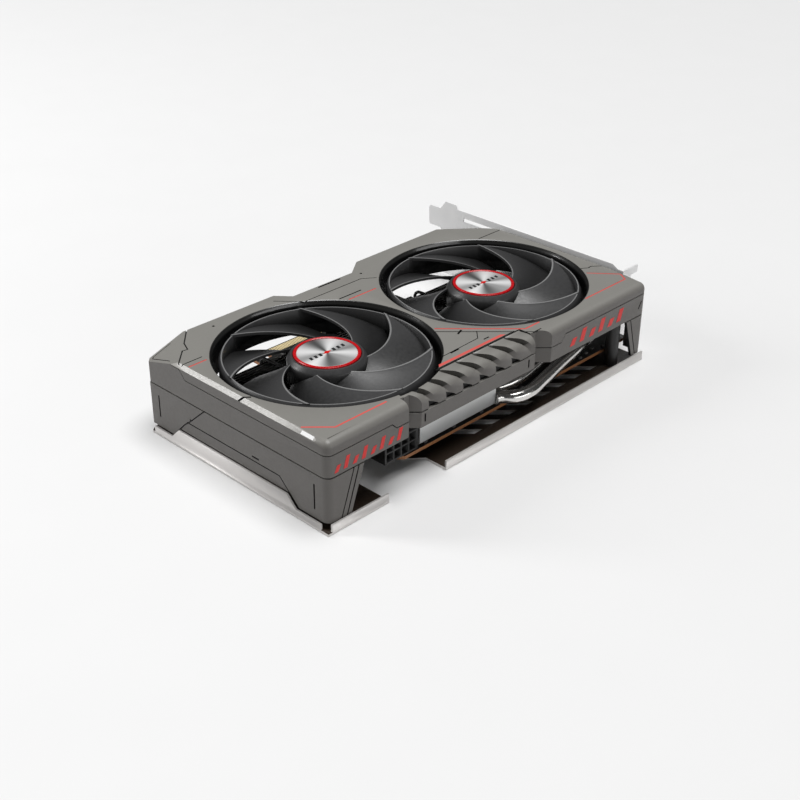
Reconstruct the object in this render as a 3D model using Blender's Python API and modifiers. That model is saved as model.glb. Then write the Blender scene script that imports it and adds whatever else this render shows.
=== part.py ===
"""Dual-fan, dual-slot graphics card, lying on its backplate with the fans up.

Card coordinates, used by every size below, are millimetres: x runs from the tail face to the
bracket, y from the open long side to the edge-finger side, and z up from the backplate's underside.
The world origin is under the middle of the card's bounding box.
"""

import math

import bmesh
import bpy
from mathutils import Matrix, Vector

MM = 0.001
GAP = 0.3

# Overall
COVER_LENGTH = 195.2
COVER_WIDTH = 106.6
TOP = 38.2
WALL = 1.7
SKIN = 1.4

# Heights that the cover and its panels share
ROOF_UNDERSIDE = 36.0
BAND_BOTTOM = 23.0
BAND_TOP = 32.8
BAND_TOP_LOW = 30.2
BAND_TOP_RIGHT = 33.6
SKIRT_BOTTOM = 3.9
SKIRT_BOTTOM_MIDDLE = 8.4

# The plane that slopes the cover's top down towards its far tail corner
FACET_POINT = (0.0, 86.1, 37.8)
FACET_NORMAL = Vector((-114.0, 100.2, 340.2)).normalized()

# Side panels, and the ribbed bar between them
SIDE_BAND_REACH = 60.0
TAIL_BAND_END = 99.0
RIB_START = 50.6
RIB_END = 117.8
RIB_DEPTH = 10.2
RIB_FLOOR = 33.9
RIB_RECESS = 0.4
SCALLOPS = 7
SCALLOP_START = 56.4
SCALLOP_PITCH = 9.8
SCALLOP_TURN = 38.0
SCALLOP_TILT = 24.0

# Fans
FAN_X = (50.0, 145.2)
FAN_Y = 53.3
FAN_NAMES = ("left", "right")
FAN_PHASE = (4.0, -15.0)
OPENING_RADIUS = 45.9
INLET_CHAMFER = 1.3
ROTOR_RADIUS = 43.3
ROTOR_RING = 1.8
ROTOR_RING_BOTTOM = 29.5
ROTOR_TOP = 37.0
BLADES = 7
BLADE_SWEEP = 60.0
BLADE_CHORD = 50.0
BLADE_THICKNESS = 1.2
HUB_RADIUS = 16.4
HUB_BOTTOM = 24.4
HUB_TOP = 36.6
CAP_RADIUS = 12.3
CAP_RING_RADIUS = 13.7
MOTOR_PLATE_BOTTOM = 20.6
MOTOR_PLATE_TOP = 22.2
ARM_REACH = 49.5

# Circuit board
PCB_BOTTOM = 6.0
PCB_THICKNESS = 1.57
PCB_TOP = PCB_BOTTOM + PCB_THICKNESS
PCB_TAIL = 46.7
PCB_NEAR = 9.3
PCB_FAR = 109.6
FINGER_EDGE = 116.3
CONNECTOR_START_FROM_BRACKET = 44.0
X16_LENGTH = 85.2
KEY_FROM_START = 11.65
KEY_WIDTH = 1.9

# Parts on the board and behind it
MEMORY_CORNERS = ((108.0, 71.5), (124.0, 71.5), (142.0, 38.0), (142.0, 54.0), (108.0, 24.0), (124.0, 24.0))
MEMORY_SIZE = (12.0, 11.4, 1.1)
PORTS = (
    ("port_1", 24.0, 15.5),
    ("port_2", 44.0, 16.6),
    ("port_3", 65.0, 16.6),
    ("port_4", 86.0, 16.6),
)
PORT_Z = (PCB_TOP + GAP, 13.9)
PORT_WALL = 0.6
PORT_TONGUE_MARGIN = 2.6
GPU_SCREWS = ((96.5, 26.5), (149.5, 26.5), (96.5, 79.5), (149.5, 79.5))
BOARD_BOSSES = ((70.0, 24.0), (186.0, 24.0), (186.0, 84.0), (70.0, 98.0))
HEADER_Y = 95.0
PIN_PITCH = 4.2
PIN_HOLE = 3.4

# Bracket
BRACKET_X = 197.6
BRACKET_THICKNESS = 0.86
BRACKET_LENGTH = 120.02
BRACKET_TAB_Y = 15.1
BRACKET_STEP_Y = 117.0
BRACKET_STEP = 2.1
TAB_TOP = 37.9
BRACKET_SCREW_Y = (41.75, 83.8)
VENTS = 8
VENT_START = 21.5
VENT_PITCH = 11.4
VENT_WIDTH = 7.6
VENT_LEAN = 5.0
BRACKET_BOTTOM = 3.0
BRACKET_WIDTH = 38.74
TAB_REACH = 11.43
TONGUE_WIDTH = 10.19
SLOT_PITCH = 20.32
TONGUE_CENTRE = 11.9

# Backplate
PLATE_THICKNESS = 1.0
PLATE_EDGE = -1.2
PLATE_END = 195.0
PLATE_FAR = 106.4
WINDOW_START = 30.3
WINDOW_END = 62.3
FLANGE = 0.9
FLANGE_HEIGHT = 4.1
TAIL_FLANGE_HEIGHT = 8.1
PLATE_SLOTS = 8
PLATE_SLOT_START = (92.4, 8.4)
PLATE_SLOT_PITCH = 11.2
PLATE_SLOT_LENGTH = 20.0
PLATE_SLOT_HALF_WIDTH = 2.6

# The middle of the bounding box
MID_X = (PLATE_EDGE + BRACKET_X + TAB_REACH) / 2
MID_Y = (PLATE_EDGE + BRACKET_TAB_Y + BRACKET_LENGTH) / 2

# Cooler
FIN_TOP = 18.4
FIN_A_BOTTOM = 8.6
FIN_B_BOTTOM = 13.6
FIN_THICKNESS = 0.8
FIN_PITCH = 4.0
PIPE_DIAMETER = 5.6


def reset_scene():
    for item in list(bpy.data.objects):
        bpy.data.objects.remove(item)
    shapes = bpy.data.collections.new("graphics_card")
    cutters = bpy.data.collections.new("cutters")
    for collection in (shapes, cutters):
        bpy.context.scene.collection.children.link(collection)
    return shapes, cutters


SHAPES, CUTTERS = reset_scene()


def finish(name, rgb, metallic, roughness):
    """A Principled material."""
    material = bpy.data.materials.new(name)
    material.use_nodes = True
    shader = material.node_tree.nodes["Principled BSDF"]
    shader.inputs["Base Color"].default_value = (*rgb, 1.0)
    shader.inputs["Metallic"].default_value = metallic
    shader.inputs["Roughness"].default_value = roughness
    material.diffuse_color = (*rgb, 1.0)
    return material


FINISHES = {
    "cover_plastic": finish("cover_plastic", (0.115, 0.108, 0.100), 0.0, 0.45),
    "fan_plastic": finish("fan_plastic", (0.012, 0.012, 0.013), 0.0, 0.40),
    "red_plastic": finish("red_plastic", (0.45, 0.01, 0.015), 0.0, 0.35),
    "spun_metal": finish("spun_metal", (0.72, 0.72, 0.72), 1.0, 0.25),
    "silver_metal": finish("silver_metal", (0.42, 0.41, 0.41), 0.8, 0.40),
    "bracket_steel": finish("bracket_steel", (0.40, 0.40, 0.40), 1.0, 0.38),
    "fin_aluminium": finish("fin_aluminium", (0.45, 0.45, 0.44), 1.0, 0.35),
    "nickel_pipe": finish("nickel_pipe", (0.62, 0.61, 0.60), 1.0, 0.20),
    "copper": finish("copper", (0.60, 0.28, 0.14), 1.0, 0.30),
    "board": finish("board", (0.012, 0.014, 0.013), 0.0, 0.50),
    "black_plastic": finish("black_plastic", (0.010, 0.010, 0.010), 0.0, 0.50),
    "chip": finish("chip", (0.020, 0.020, 0.022), 0.0, 0.55),
    "connector_steel": finish("connector_steel", (0.50, 0.50, 0.50), 1.0, 0.35),
    "choke_grey": finish("choke_grey", (0.10, 0.10, 0.10), 0.2, 0.60),
    "lead_black": finish("lead_black", (0.012, 0.012, 0.012), 0.0, 0.60),
}


def world(x, y, z):
    """A point of the card, in metres."""
    return Vector((x - MID_X, y - MID_Y, z)) * MM


def link(name, mesh, slot=None, location=None):
    """An object for a mesh, with its finish; without one it is a cutter."""
    item = bpy.data.objects.new(name, mesh)
    if slot:
        mesh.materials.clear()
        mesh.materials.append(FINISHES[slot])
        SHAPES.objects.link(item)
    else:
        CUTTERS.objects.link(item)
        item.hide_render = True
        item.display_type = "WIRE"
    if location is not None:
        item.location = location
    return item


AXES = {
    "Z": Matrix.Identity(4),
    "Y": Matrix(((1, 0, 0, 0), (0, 0, -1, 0), (0, 1, 0, 0), (0, 0, 0, 1))),
    "X": Matrix(((0, 0, 1, 0), (1, 0, 0, 0), (0, 1, 0, 0), (0, 0, 0, 1))),
}


def plate(name, outlines, low, high, slot=None, axis="Z"):
    """A flat outline, with any holes in it, thickened from low to high along an axis.

    Outline points are (x, y) for axis Z, (x, z) for axis Y and (y, z) for axis X.
    """
    if isinstance(outlines[0][0], (int, float)):
        outlines = [outlines]
    curve = bpy.data.curves.new(name, "CURVE")
    curve.dimensions = "2D"
    curve.fill_mode = "BOTH"
    curve.extrude = (high - low) / 2 * MM
    for outline in outlines:
        spline = curve.splines.new("POLY")
        spline.points.add(len(outline) - 1)
        for point, (across, up) in zip(spline.points, outline):
            point.co = (across * MM, up * MM, 0.0, 1.0)
        spline.use_cyclic_u = True
    guide = bpy.data.objects.new(name, curve)
    bpy.context.scene.collection.objects.link(guide)
    evaluated = guide.evaluated_get(bpy.context.evaluated_depsgraph_get())
    mesh = bpy.data.meshes.new_from_object(evaluated)
    bpy.data.objects.remove(guide)
    middle = (low + high) / 2
    offset = {"Z": (0, 0, middle), "Y": (0, middle, 0), "X": (middle, 0, 0)}[axis]
    shift = Vector((offset[0] - MID_X, offset[1] - MID_Y, offset[2])) * MM
    mesh.transform(Matrix.Translation(shift) @ AXES[axis])
    solid = bmesh.new()
    solid.from_mesh(mesh)
    bmesh.ops.remove_doubles(solid, verts=solid.verts, dist=1e-6)
    if len(outlines) == 1:
        bmesh.ops.dissolve_limit(
            solid, angle_limit=math.radians(1), verts=solid.verts, edges=solid.edges
        )
    bmesh.ops.recalc_face_normals(solid, faces=solid.faces)
    solid.to_mesh(mesh)
    solid.free()
    return link(name, mesh, slot)


def block(name, low, high, slot=None):
    """A box between two corners in card coordinates."""
    solid = bmesh.new()
    bmesh.ops.create_cube(solid, size=1.0)
    size = [(b - a) * MM for a, b in zip(low, high)]
    centre = world(*[(a + b) / 2 for a, b in zip(low, high)])
    bmesh.ops.scale(solid, vec=size, verts=solid.verts)
    bmesh.ops.translate(solid, vec=centre, verts=solid.verts)
    mesh = bpy.data.meshes.new(name)
    solid.to_mesh(mesh)
    solid.free()
    return link(name, mesh, slot)


def cylinder(name, centre, low, high, radius, slot=None, sides=32, top_radius=None):
    """An upright cylinder or cone at a centre (x, y)."""
    solid = bmesh.new()
    bmesh.ops.create_cone(
        solid,
        cap_ends=True,
        segments=sides,
        radius1=radius * MM,
        radius2=(radius if top_radius is None else top_radius) * MM,
        depth=(high - low) * MM,
    )
    bmesh.ops.translate(solid, vec=world(*centre, (low + high) / 2), verts=solid.verts)
    mesh = bpy.data.meshes.new(name)
    solid.to_mesh(mesh)
    solid.free()
    return link(name, mesh, slot)


def turned(name, profile, slot=None, steps=48, location=None):
    """A profile of (radius, z) points, run down its outer side, turned about the upright axis."""
    mesh = bpy.data.meshes.new(name)
    points = [(radius * MM, 0.0, z * MM) for radius, z in profile]
    mesh.from_pydata(points, [(i, i + 1) for i in range(len(points) - 1)], [])
    item = link(name, mesh, slot, location)
    screw = item.modifiers.new("Screw", "SCREW")
    screw.axis = "Z"
    screw.steps = steps
    screw.render_steps = steps
    screw.use_merge_vertices = True
    screw.merge_threshold = 0.00001
    return item


def closed(profile):
    """A turned profile that returns to its first point, for a ring."""
    return [*profile, profile[0]]


def tube(name, points, diameter, slot, resolution=2):
    """A bent round bar through points, with its ends closed."""
    curve = bpy.data.curves.new(name, "CURVE")
    curve.dimensions = "3D"
    curve.bevel_depth = diameter / 2 * MM
    curve.bevel_resolution = resolution
    curve.use_fill_caps = True
    spline = curve.splines.new("POLY")
    spline.points.add(len(points) - 1)
    for point, place in zip(spline.points, points):
        point.co = (*world(*place), 1.0)
    curve.materials.append(FINISHES[slot])
    item = bpy.data.objects.new(name, curve)
    SHAPES.objects.link(item)
    return item


def combine(item, others, operation="DIFFERENCE"):
    """Boolean modifiers on item, one for each other object."""
    for other in others:
        modifier = item.modifiers.new(other.name, "BOOLEAN")
        modifier.operation = operation
        modifier.solver = "EXACT"
        modifier.object = other
    return item


def round_edges(item, width, segments=2, pick=None):
    """Bevels the edges that pick accepts; pick takes an edge's two ends in card coordinates."""
    solid = bmesh.new()
    solid.from_mesh(item.data)
    chosen = []
    for edge in solid.edges:
        ends = [vert.co / MM + Vector((MID_X, MID_Y, 0)) for vert in edge.verts]
        if pick is None or pick(*ends):
            chosen.append(edge)
    bmesh.ops.bevel(
        solid,
        geom=chosen,
        offset=width * MM,
        segments=segments,
        profile=0.5,
        affect="EDGES",
        clamp_overlap=True,
    )
    solid.to_mesh(item.data)
    solid.free()
    return item


def slice_off(item, point, normal):
    """Removes what lies beyond a plane, and closes the cut."""
    solid = bmesh.new()
    solid.from_mesh(item.data)
    geometry = [*solid.verts, *solid.edges, *solid.faces]
    cut = bmesh.ops.bisect_plane(
        solid, geom=geometry, plane_co=world(*point), plane_no=normal, clear_outer=True
    )
    rim = [part for part in cut["geom_cut"] if isinstance(part, bmesh.types.BMEdge)]
    bmesh.ops.contextual_create(solid, geom=rim)
    bmesh.ops.recalc_face_normals(solid, faces=solid.faces)
    solid.to_mesh(item.data)
    solid.free()
    return item


def inset(outline, distance):
    """A closed anticlockwise outline moved inwards, with its corners mitred."""
    result = []
    for index, corner in enumerate(outline):
        here = Vector(corner)
        before = here - Vector(outline[index - 1])
        after = Vector(outline[(index + 1) % len(outline)]) - here
        first = Vector((-before.y, before.x)).normalized()
        second = Vector((-after.y, after.x)).normalized()
        middle = (first + second).normalized()
        result.append(tuple(here + middle * (distance / middle.dot(first))))
    return result


def cover_outline():
    """The cover seen from above, anticlockwise from the near tail corner."""
    groove_floor = 4.8
    middle_y = 1.4
    return [
        (0.0, 0.0),
        (41.8, 0.0),
        (41.8, groove_floor),
        (46.7, groove_floor),
        (50.1, middle_y),
        (118.3, middle_y),
        (118.3, groove_floor),
        (122.4, groove_floor),
        (127.2, 0.0),
        (COVER_LENGTH, 0.0),
        (COVER_LENGTH, 88.0),
        (190.2, 94.3),
        (173.8, 108.2),
        (118.9, 107.4),
        (109.1, 100.2),
        (73.8, 100.2),
        (68.1, COVER_WIDTH),
        (2.0, COVER_WIDTH),
        (0.0, 104.6),
    ]


def fan_hole(name, fan, radius, low, high, sides=72):
    return cylinder(name, (FAN_X[fan], FAN_Y), low, high, radius, sides=sides)


def side_recess(name):
    """What the side bands take out of the cover's long near side and its tail."""
    around = [(-20, -20), (230, -20), (230, 130), (-20, 130)]
    inner = inset(cover_outline(), WALL)
    ring = plate(name + "_ring", [around, inner], 10.0, 50.0)
    seam = [
        (-10.0, 20.0),
        (205.0, 20.0),
        (205.0, BAND_TOP_RIGHT),
        (136.1, BAND_TOP_RIGHT),
        (133.7, BAND_TOP_LOW),
        (35.3, BAND_TOP_LOW),
        (32.8, BAND_TOP),
        (-10.0, BAND_TOP),
    ]
    near = plate(name + "_near", seam, -15.0, SIDE_BAND_REACH, axis="Y")
    tail_low = (-10.0, SIDE_BAND_REACH - 1.0, 20.0)
    tail = block(name + "_tail", tail_low, (20.0, TAIL_BAND_END, BAND_TOP))
    return [combine(piece, [ring], "INTERSECT") for piece in (near, tail)]


def make_cover():
    outline = cover_outline()
    cover = plate("cover", outline, BAND_BOTTOM, TOP, "cover_plastic")
    on_top = TOP - 0.01

    def near_corners(a, b):
        upright = abs(a.z - b.z) > 5
        return upright and a.y < 0.1 and (a.x < 0.1 or a.x > COVER_LENGTH - 0.1)

    def near_top(a, b):
        return min(a.z, b.z) > on_top and max(a.y, b.y) < 2.1 and abs(a.x - b.x) > 5

    def other_top(a, b):
        return min(a.z, b.z) > on_top and min(a.y, b.y) > 1.0

    round_edges(cover, 2.2, 3, near_corners)
    round_edges(cover, 4.4, 4, near_top)
    slice_off(cover, FACET_POINT, FACET_NORMAL)
    cavity = plate("cover_cavity", inset(outline, WALL + SKIN + 0.2), 0.0, ROOF_UNDERSIDE)
    slice_off(cavity, tuple(Vector(FACET_POINT) - Vector((0, 0, 2.4))), FACET_NORMAL)
    cutters = [cavity, *side_recess("cover_recess")]
    for fan in range(2):
        label = FAN_NAMES[fan]
        cutters.append(fan_hole(f"opening_{label}", fan, OPENING_RADIUS, 20.0, 60.0))
        cutters.append(
            cylinder(
                f"inlet_{label}",
                (FAN_X[fan], FAN_Y),
                TOP - INLET_CHAMFER,
                TOP + 0.2,
                OPENING_RADIUS,
                sides=72,
                top_radius=OPENING_RADIUS + INLET_CHAMFER + 0.2,
            )
        )
    cutters.append(
        block(
            "rib_pocket",
            (RIB_START - GAP, -2.0, RIB_FLOOR - GAP),
            (RIB_END + GAP, RIB_DEPTH + GAP, TOP + 5),
        )
    )
    combine(cover, cutters)
    return cover


def make_rib_strip():
    """The ribbed bar over the middle of the long side, with slanted scallops."""
    front = 1.4
    across = 4.6
    upright = 3.4
    top = TOP - RIB_RECESS
    rounding = [
        (front + across * (1 - math.cos(angle)), top - upright * (1 - math.sin(angle)))
        for angle in (math.radians(15 * step) for step in range(7))
    ]
    profile = [(RIB_DEPTH, RIB_FLOOR), (front, RIB_FLOOR), *rounding, (RIB_DEPTH, top)]
    strip = plate("rib_strip", profile[::-1], RIB_START, RIB_END, "cover_plastic", "X")
    scallops = []
    turn = Matrix.Rotation(math.radians(SCALLOP_TURN), 4, "Z")
    tilt = Matrix.Rotation(math.radians(SCALLOP_TILT), 4, "Y")
    for index in range(SCALLOPS):
        centre = SCALLOP_START + SCALLOP_PITCH * index
        scallop = block(f"scallop_{index}", (-3.4, -7.0, -1.6), (1.2, 9.0, 3.0))
        scallop.data.transform(Matrix.Translation(-world(0, 0, 0)))
        place = Matrix.Translation(world(centre, 3.6, TOP + 0.5))
        scallop.data.transform(place @ turn @ tilt)
        scallops.append(scallop)
    combine(strip, scallops)
    clear = OPENING_RADIUS + 2.0
    combine(strip, [fan_hole(f"rib_clear_{fan}", fan, clear, 20, 60) for fan in range(2)])
    return strip


def make_band(name, seam, reach):
    """A thin panel that follows the cover's outline where seam, drawn in (x, z), covers it."""
    outline = cover_outline()
    outer = plate(name, seam, -1.0, reach, "cover_plastic", "Y")
    skin = plate(name + "_skin", [outline, inset(outline, SKIN)], BAND_BOTTOM - 5, TOP)
    return combine(outer, [skin], "INTERSECT")


def make_bands():
    half = GAP / 2
    low = BAND_BOTTOM + half
    left = [
        (-1.0, low),
        (41.8, low),
        (41.8, BAND_TOP_LOW - half),
        (35.3, BAND_TOP_LOW - half),
        (32.8, BAND_TOP - half),
        (-1.0, BAND_TOP - half),
    ]
    middle = [
        (44.0, low),
        (118.3, low),
        (118.3, BAND_TOP_LOW - half),
        (44.0, BAND_TOP_LOW - half),
    ]
    right = [
        (120.2, low),
        (196.0, low),
        (196.0, BAND_TOP_RIGHT - half),
        (136.1, BAND_TOP_RIGHT - half),
        (133.7, BAND_TOP_LOW - half),
        (120.2, BAND_TOP_LOW - half),
    ]
    make_band("side_band_left", left, TAIL_BAND_END - GAP)
    make_band("side_band_middle", middle, SIDE_BAND_REACH - GAP)
    make_band("side_band_right", right, SIDE_BAND_REACH - GAP)


def make_tail_skirt():
    """The lower tail wall with its two wrapped legs."""
    wall = SKIN
    top = BAND_BOTTOM - GAP / 2
    far = COVER_WIDTH - 0.6
    plan = [
        (0.0, 0.0),
        (18.2, 0.0),
        (18.2, wall),
        (wall, wall),
        (wall, far - wall),
        (18.2, far - wall),
        (18.2, far),
        (0.0, far),
    ]
    skirt = plate("tail_skirt", plan, SKIRT_BOTTOM, top, "cover_plastic")

    def outer_corners(a, b):
        upright = abs(a.z - b.z) > 5
        return upright and a.x < 0.1 and (a.y < 0.1 or a.y > far - 0.1)

    round_edges(skirt, 1.6, 2, outer_corners)
    middle = [
        (16.4, SKIRT_BOTTOM - 1),
        (16.4, SKIRT_BOTTOM),
        (21.3, SKIRT_BOTTOM_MIDDLE),
        (86.9, SKIRT_BOTTOM_MIDDLE),
        (91.0, SKIRT_BOTTOM),
        (91.0, SKIRT_BOTTOM - 1),
    ]
    slant = [(11.1, SKIRT_BOTTOM - 1), (25.0, SKIRT_BOTTOM - 1), (25.0, 23.5), (18.0, 23.5)]
    combine(
        skirt,
        [
            plate("skirt_middle", middle, -5.0, 10.0, axis="X"),
            plate("skirt_slant", slant, -5.0, 115.0, axis="Y"),
        ],
    )


def make_bracket_leg():
    """The leg under the right end of the near side, turned in beside the bracket."""
    plan = [
        (180.0, 0.0),
        (COVER_LENGTH, 0.0),
        (COVER_LENGTH, 9.0),
        (COVER_LENGTH - SKIN, 9.0),
        (COVER_LENGTH - SKIN, SKIN),
        (180.0, SKIN),
    ]
    leg = plate("bracket_leg", plan, SKIRT_BOTTOM, BAND_BOTTOM - GAP / 2, "cover_plastic")
    slant = [(170.0, 2.0), (188.2, 2.0), (187.8, SKIRT_BOTTOM), (181.2, 23.5), (170.0, 23.5)]
    combine(leg, [plate("leg_slant", slant, -5.0, 5.0, axis="Y")])


def blade_surface(radius_share, chord_share, phase):
    """A point of a blade: the share of the way out from the hub and back from the leading edge."""
    inner = HUB_RADIUS - 1.2
    outer = ROTOR_RADIUS - ROTOR_RING / 2
    radius = inner + (outer - inner) * radius_share
    sweep = BLADE_SWEEP * radius_share**0.82
    chord = BLADE_CHORD * (0.92 + 0.10 * radius_share)
    angle = math.radians(phase + sweep - chord * chord_share)
    leading = HUB_TOP - 1.5 + 0.9 * radius_share
    drop = (8.0 - 0.5 * radius_share) * chord_share**1.15
    return Vector((radius * math.cos(angle), radius * math.sin(angle), leading - drop)) * MM


def make_blade(name, phase):
    spans = 5
    chords = 4
    grid = bmesh.new()
    bmesh.ops.create_grid(grid, x_segments=spans, y_segments=chords, size=0.5)
    for vert in grid.verts:
        vert.co = blade_surface(vert.co.x + 0.5, vert.co.y + 0.5, phase)
    bmesh.ops.recalc_face_normals(grid, faces=grid.faces)
    mesh = bpy.data.meshes.new(name)
    grid.to_mesh(mesh)
    grid.free()
    blade = link(name, mesh)
    solidify = blade.modifiers.new("Solidify", "SOLIDIFY")
    solidify.thickness = BLADE_THICKNESS * MM
    solidify.offset = 0.0
    return blade


def make_rotor(fan):
    label = FAN_NAMES[fan]
    axis = world(FAN_X[fan], FAN_Y, 0.0)
    recess = HUB_TOP - 1.6
    hub_wall = 2.2
    shaft = 1.5
    hub = [
        (0.0, recess),
        (CAP_RING_RADIUS + GAP, recess),
        (CAP_RING_RADIUS + GAP, HUB_TOP),
        (CAP_RING_RADIUS + 1.0, HUB_TOP),
        (HUB_RADIUS, HUB_TOP - 2.0),
        (HUB_RADIUS, HUB_BOTTOM),
        (HUB_RADIUS - hub_wall, HUB_BOTTOM),
        (HUB_RADIUS - hub_wall, recess - 2.2),
        (shaft, recess - 2.2),
        (shaft, MOTOR_PLATE_TOP + 1.0),
        (0.0, MOTOR_PLATE_TOP + 1.0),
    ]
    rotor = turned(f"rotor_{label}", hub, "fan_plastic", 36, axis)
    ring = closed(
        [
            (ROTOR_RADIUS - ROTOR_RING, ROTOR_TOP),
            (ROTOR_RADIUS, ROTOR_TOP),
            (ROTOR_RADIUS, ROTOR_RING_BOTTOM),
            (ROTOR_RADIUS - ROTOR_RING, ROTOR_RING_BOTTOM),
        ]
    )
    pieces = [turned(f"rotor_ring_{label}", ring, None, 60, axis)]
    for index in range(BLADES):
        phase = FAN_PHASE[fan] + 360.0 / BLADES * index
        blade = make_blade(f"blade_{label}_{index}", phase)
        blade.location = axis
        pieces.append(blade)
    combine(rotor, pieces, "UNION")

    cap_floor = recess + GAP
    cap = [
        (0.0, HUB_TOP + 0.7),
        (CAP_RADIUS * 0.6, HUB_TOP + 0.6),
        (CAP_RADIUS, HUB_TOP + 0.2),
        (CAP_RADIUS, cap_floor),
        (0.0, cap_floor),
    ]
    turned(f"hub_cap_{label}", cap, "spun_metal", 48, axis)
    cap_ring = closed(
        [
            (CAP_RADIUS + GAP, HUB_TOP + 0.3),
            (CAP_RING_RADIUS, HUB_TOP + 0.3),
            (CAP_RING_RADIUS, cap_floor),
            (CAP_RADIUS + GAP, cap_floor),
        ]
    )
    turned(f"hub_ring_{label}", cap_ring, "red_plastic", 48, axis)


def make_motor(fan):
    """The fixed motor, and the plate with four arms that carries it under the cover."""
    label = FAN_NAMES[fan]
    axis = world(FAN_X[fan], FAN_Y, 0.0)
    stator = closed(
        [
            (1.9, 30.6),
            (12.6, 30.6),
            (12.6, MOTOR_PLATE_TOP + GAP),
            (1.9, MOTOR_PLATE_TOP + GAP),
        ]
    )
    turned(f"stator_{label}", stator, "copper", 32, axis)
    low = MOTOR_PLATE_BOTTOM
    high = MOTOR_PLATE_TOP
    frame = cylinder(f"fan_frame_{label}", (FAN_X[fan], FAN_Y), low, high, 15.0, "fan_plastic")
    pieces = []
    inside = 0.1
    for index in range(4):
        turn = Matrix.Rotation(math.radians(45 + 90 * index), 4, "Z")
        arm_low = (10.0, -2.4, low + inside)
        arm_high = (ARM_REACH, 2.4, high - inside)
        foot_low = (OPENING_RADIUS + 0.6, -2.3, low + 2 * inside)
        foot_high = (ARM_REACH - inside, 2.3, ROOF_UNDERSIDE - 2.8)
        arm = block(f"arm_{label}_{index}", arm_low, arm_high)
        foot = block(f"foot_{label}_{index}", foot_low, foot_high)
        for piece in (arm, foot):
            piece.data.transform(Matrix.Translation(-world(0, 0, 0)))
            piece.data.transform(Matrix.Translation(axis) @ turn)
            pieces.append(piece)
    combine(frame, pieces, "UNION")


def make_fin_stack(name, outline, bottom, base, near, far):
    """A comb of upright fins, stacked across the card, on one base plate."""
    comb = plate(name, outline, bottom, FIN_TOP, "fin_aluminium")
    lows = [point[0] for point in outline]
    slots = []
    count = int((far - near) / FIN_PITCH)
    for index in range(count):
        start = near + FIN_THICKNESS + FIN_PITCH * index
        end = start + FIN_PITCH - FIN_THICKNESS
        if end > far - FIN_THICKNESS:
            end = far - FIN_THICKNESS
        slots.append(
            block(
                f"{name}_slot_{index}",
                (min(lows) - 5, start, bottom + base),
                (max(lows) + 5, end, FIN_TOP + 5),
            )
        )
    return combine(comb, slots)


def make_cooler():
    near = 9.0
    start = 57.8
    end = 103.3
    far = 92.2
    fins_a = [(start, near), (end, near), (end, far), (start, far)]
    make_fin_stack("fin_stack_tail", fins_a, FIN_A_BOTTOM, 1.2, near, far)
    step = start - GAP
    fins_end = [(30.0, 30.0), (step, 30.0), (step, far), (30.0, far)]
    make_fin_stack("fin_stack_end", fins_end, FIN_A_BOTTOM, 1.2, 30.0, far)
    fins_b = [(105.0, 21.0), (176.0, 21.0), (176.0, far), (105.0, far)]
    make_fin_stack("fin_stack_main", fins_b, FIN_B_BOTTOM, 1.0, 21.0, far)
    block("cold_plate", (106.0, 34.0, 10.3), (140.0, 72.0, 13.3), "copper")
    routes = {
        "heat_pipe_1": [
            (103.7, 9.8, 11.6),
            (106.4, 9.2, 11.5),
            (111.0, 5.2, 11.3),
            (118.0, 3.6, 11.4),
            (130.0, 5.4, 11.8),
            (143.0, 8.2, 12.3),
            (158.0, 11.2, 12.6),
            (172.0, 14.2, 13.0),
            (182.0, 16.6, 13.2),
        ],
        "heat_pipe_2": [
            (103.7, 16.8, 12.2),
            (106.4, 16.4, 12.4),
            (112.0, 13.0, 13.2),
            (120.0, 11.6, 13.8),
            (132.0, 13.0, 14.2),
            (144.0, 15.6, 14.4),
            (158.0, 17.9, 14.5),
        ],
    }
    for name, route in routes.items():
        tube(name, smooth(route), PIPE_DIAMETER, "nickel_pipe")


def smooth(route, between=2):
    """Points of a Catmull-Rom curve through a route."""
    ends = [route[0], *route, route[-1]]
    points = []
    for index in range(1, len(ends) - 2):
        p0, p1, p2, p3 = (Vector(ends[index + step]) for step in (-1, 0, 1, 2))
        for step in range(between):
            t = step / between
            along = p1 * 2 + (p2 - p0) * t
            bend = (p0 * 2 - p1 * 5 + p2 * 4 - p3) * t * t
            twist = (p1 * 3 - p0 - p2 * 3 + p3) * t * t * t
            points.append(tuple((along + bend + twist) / 2))
    points.append(tuple(route[-1]))
    return points


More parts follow.
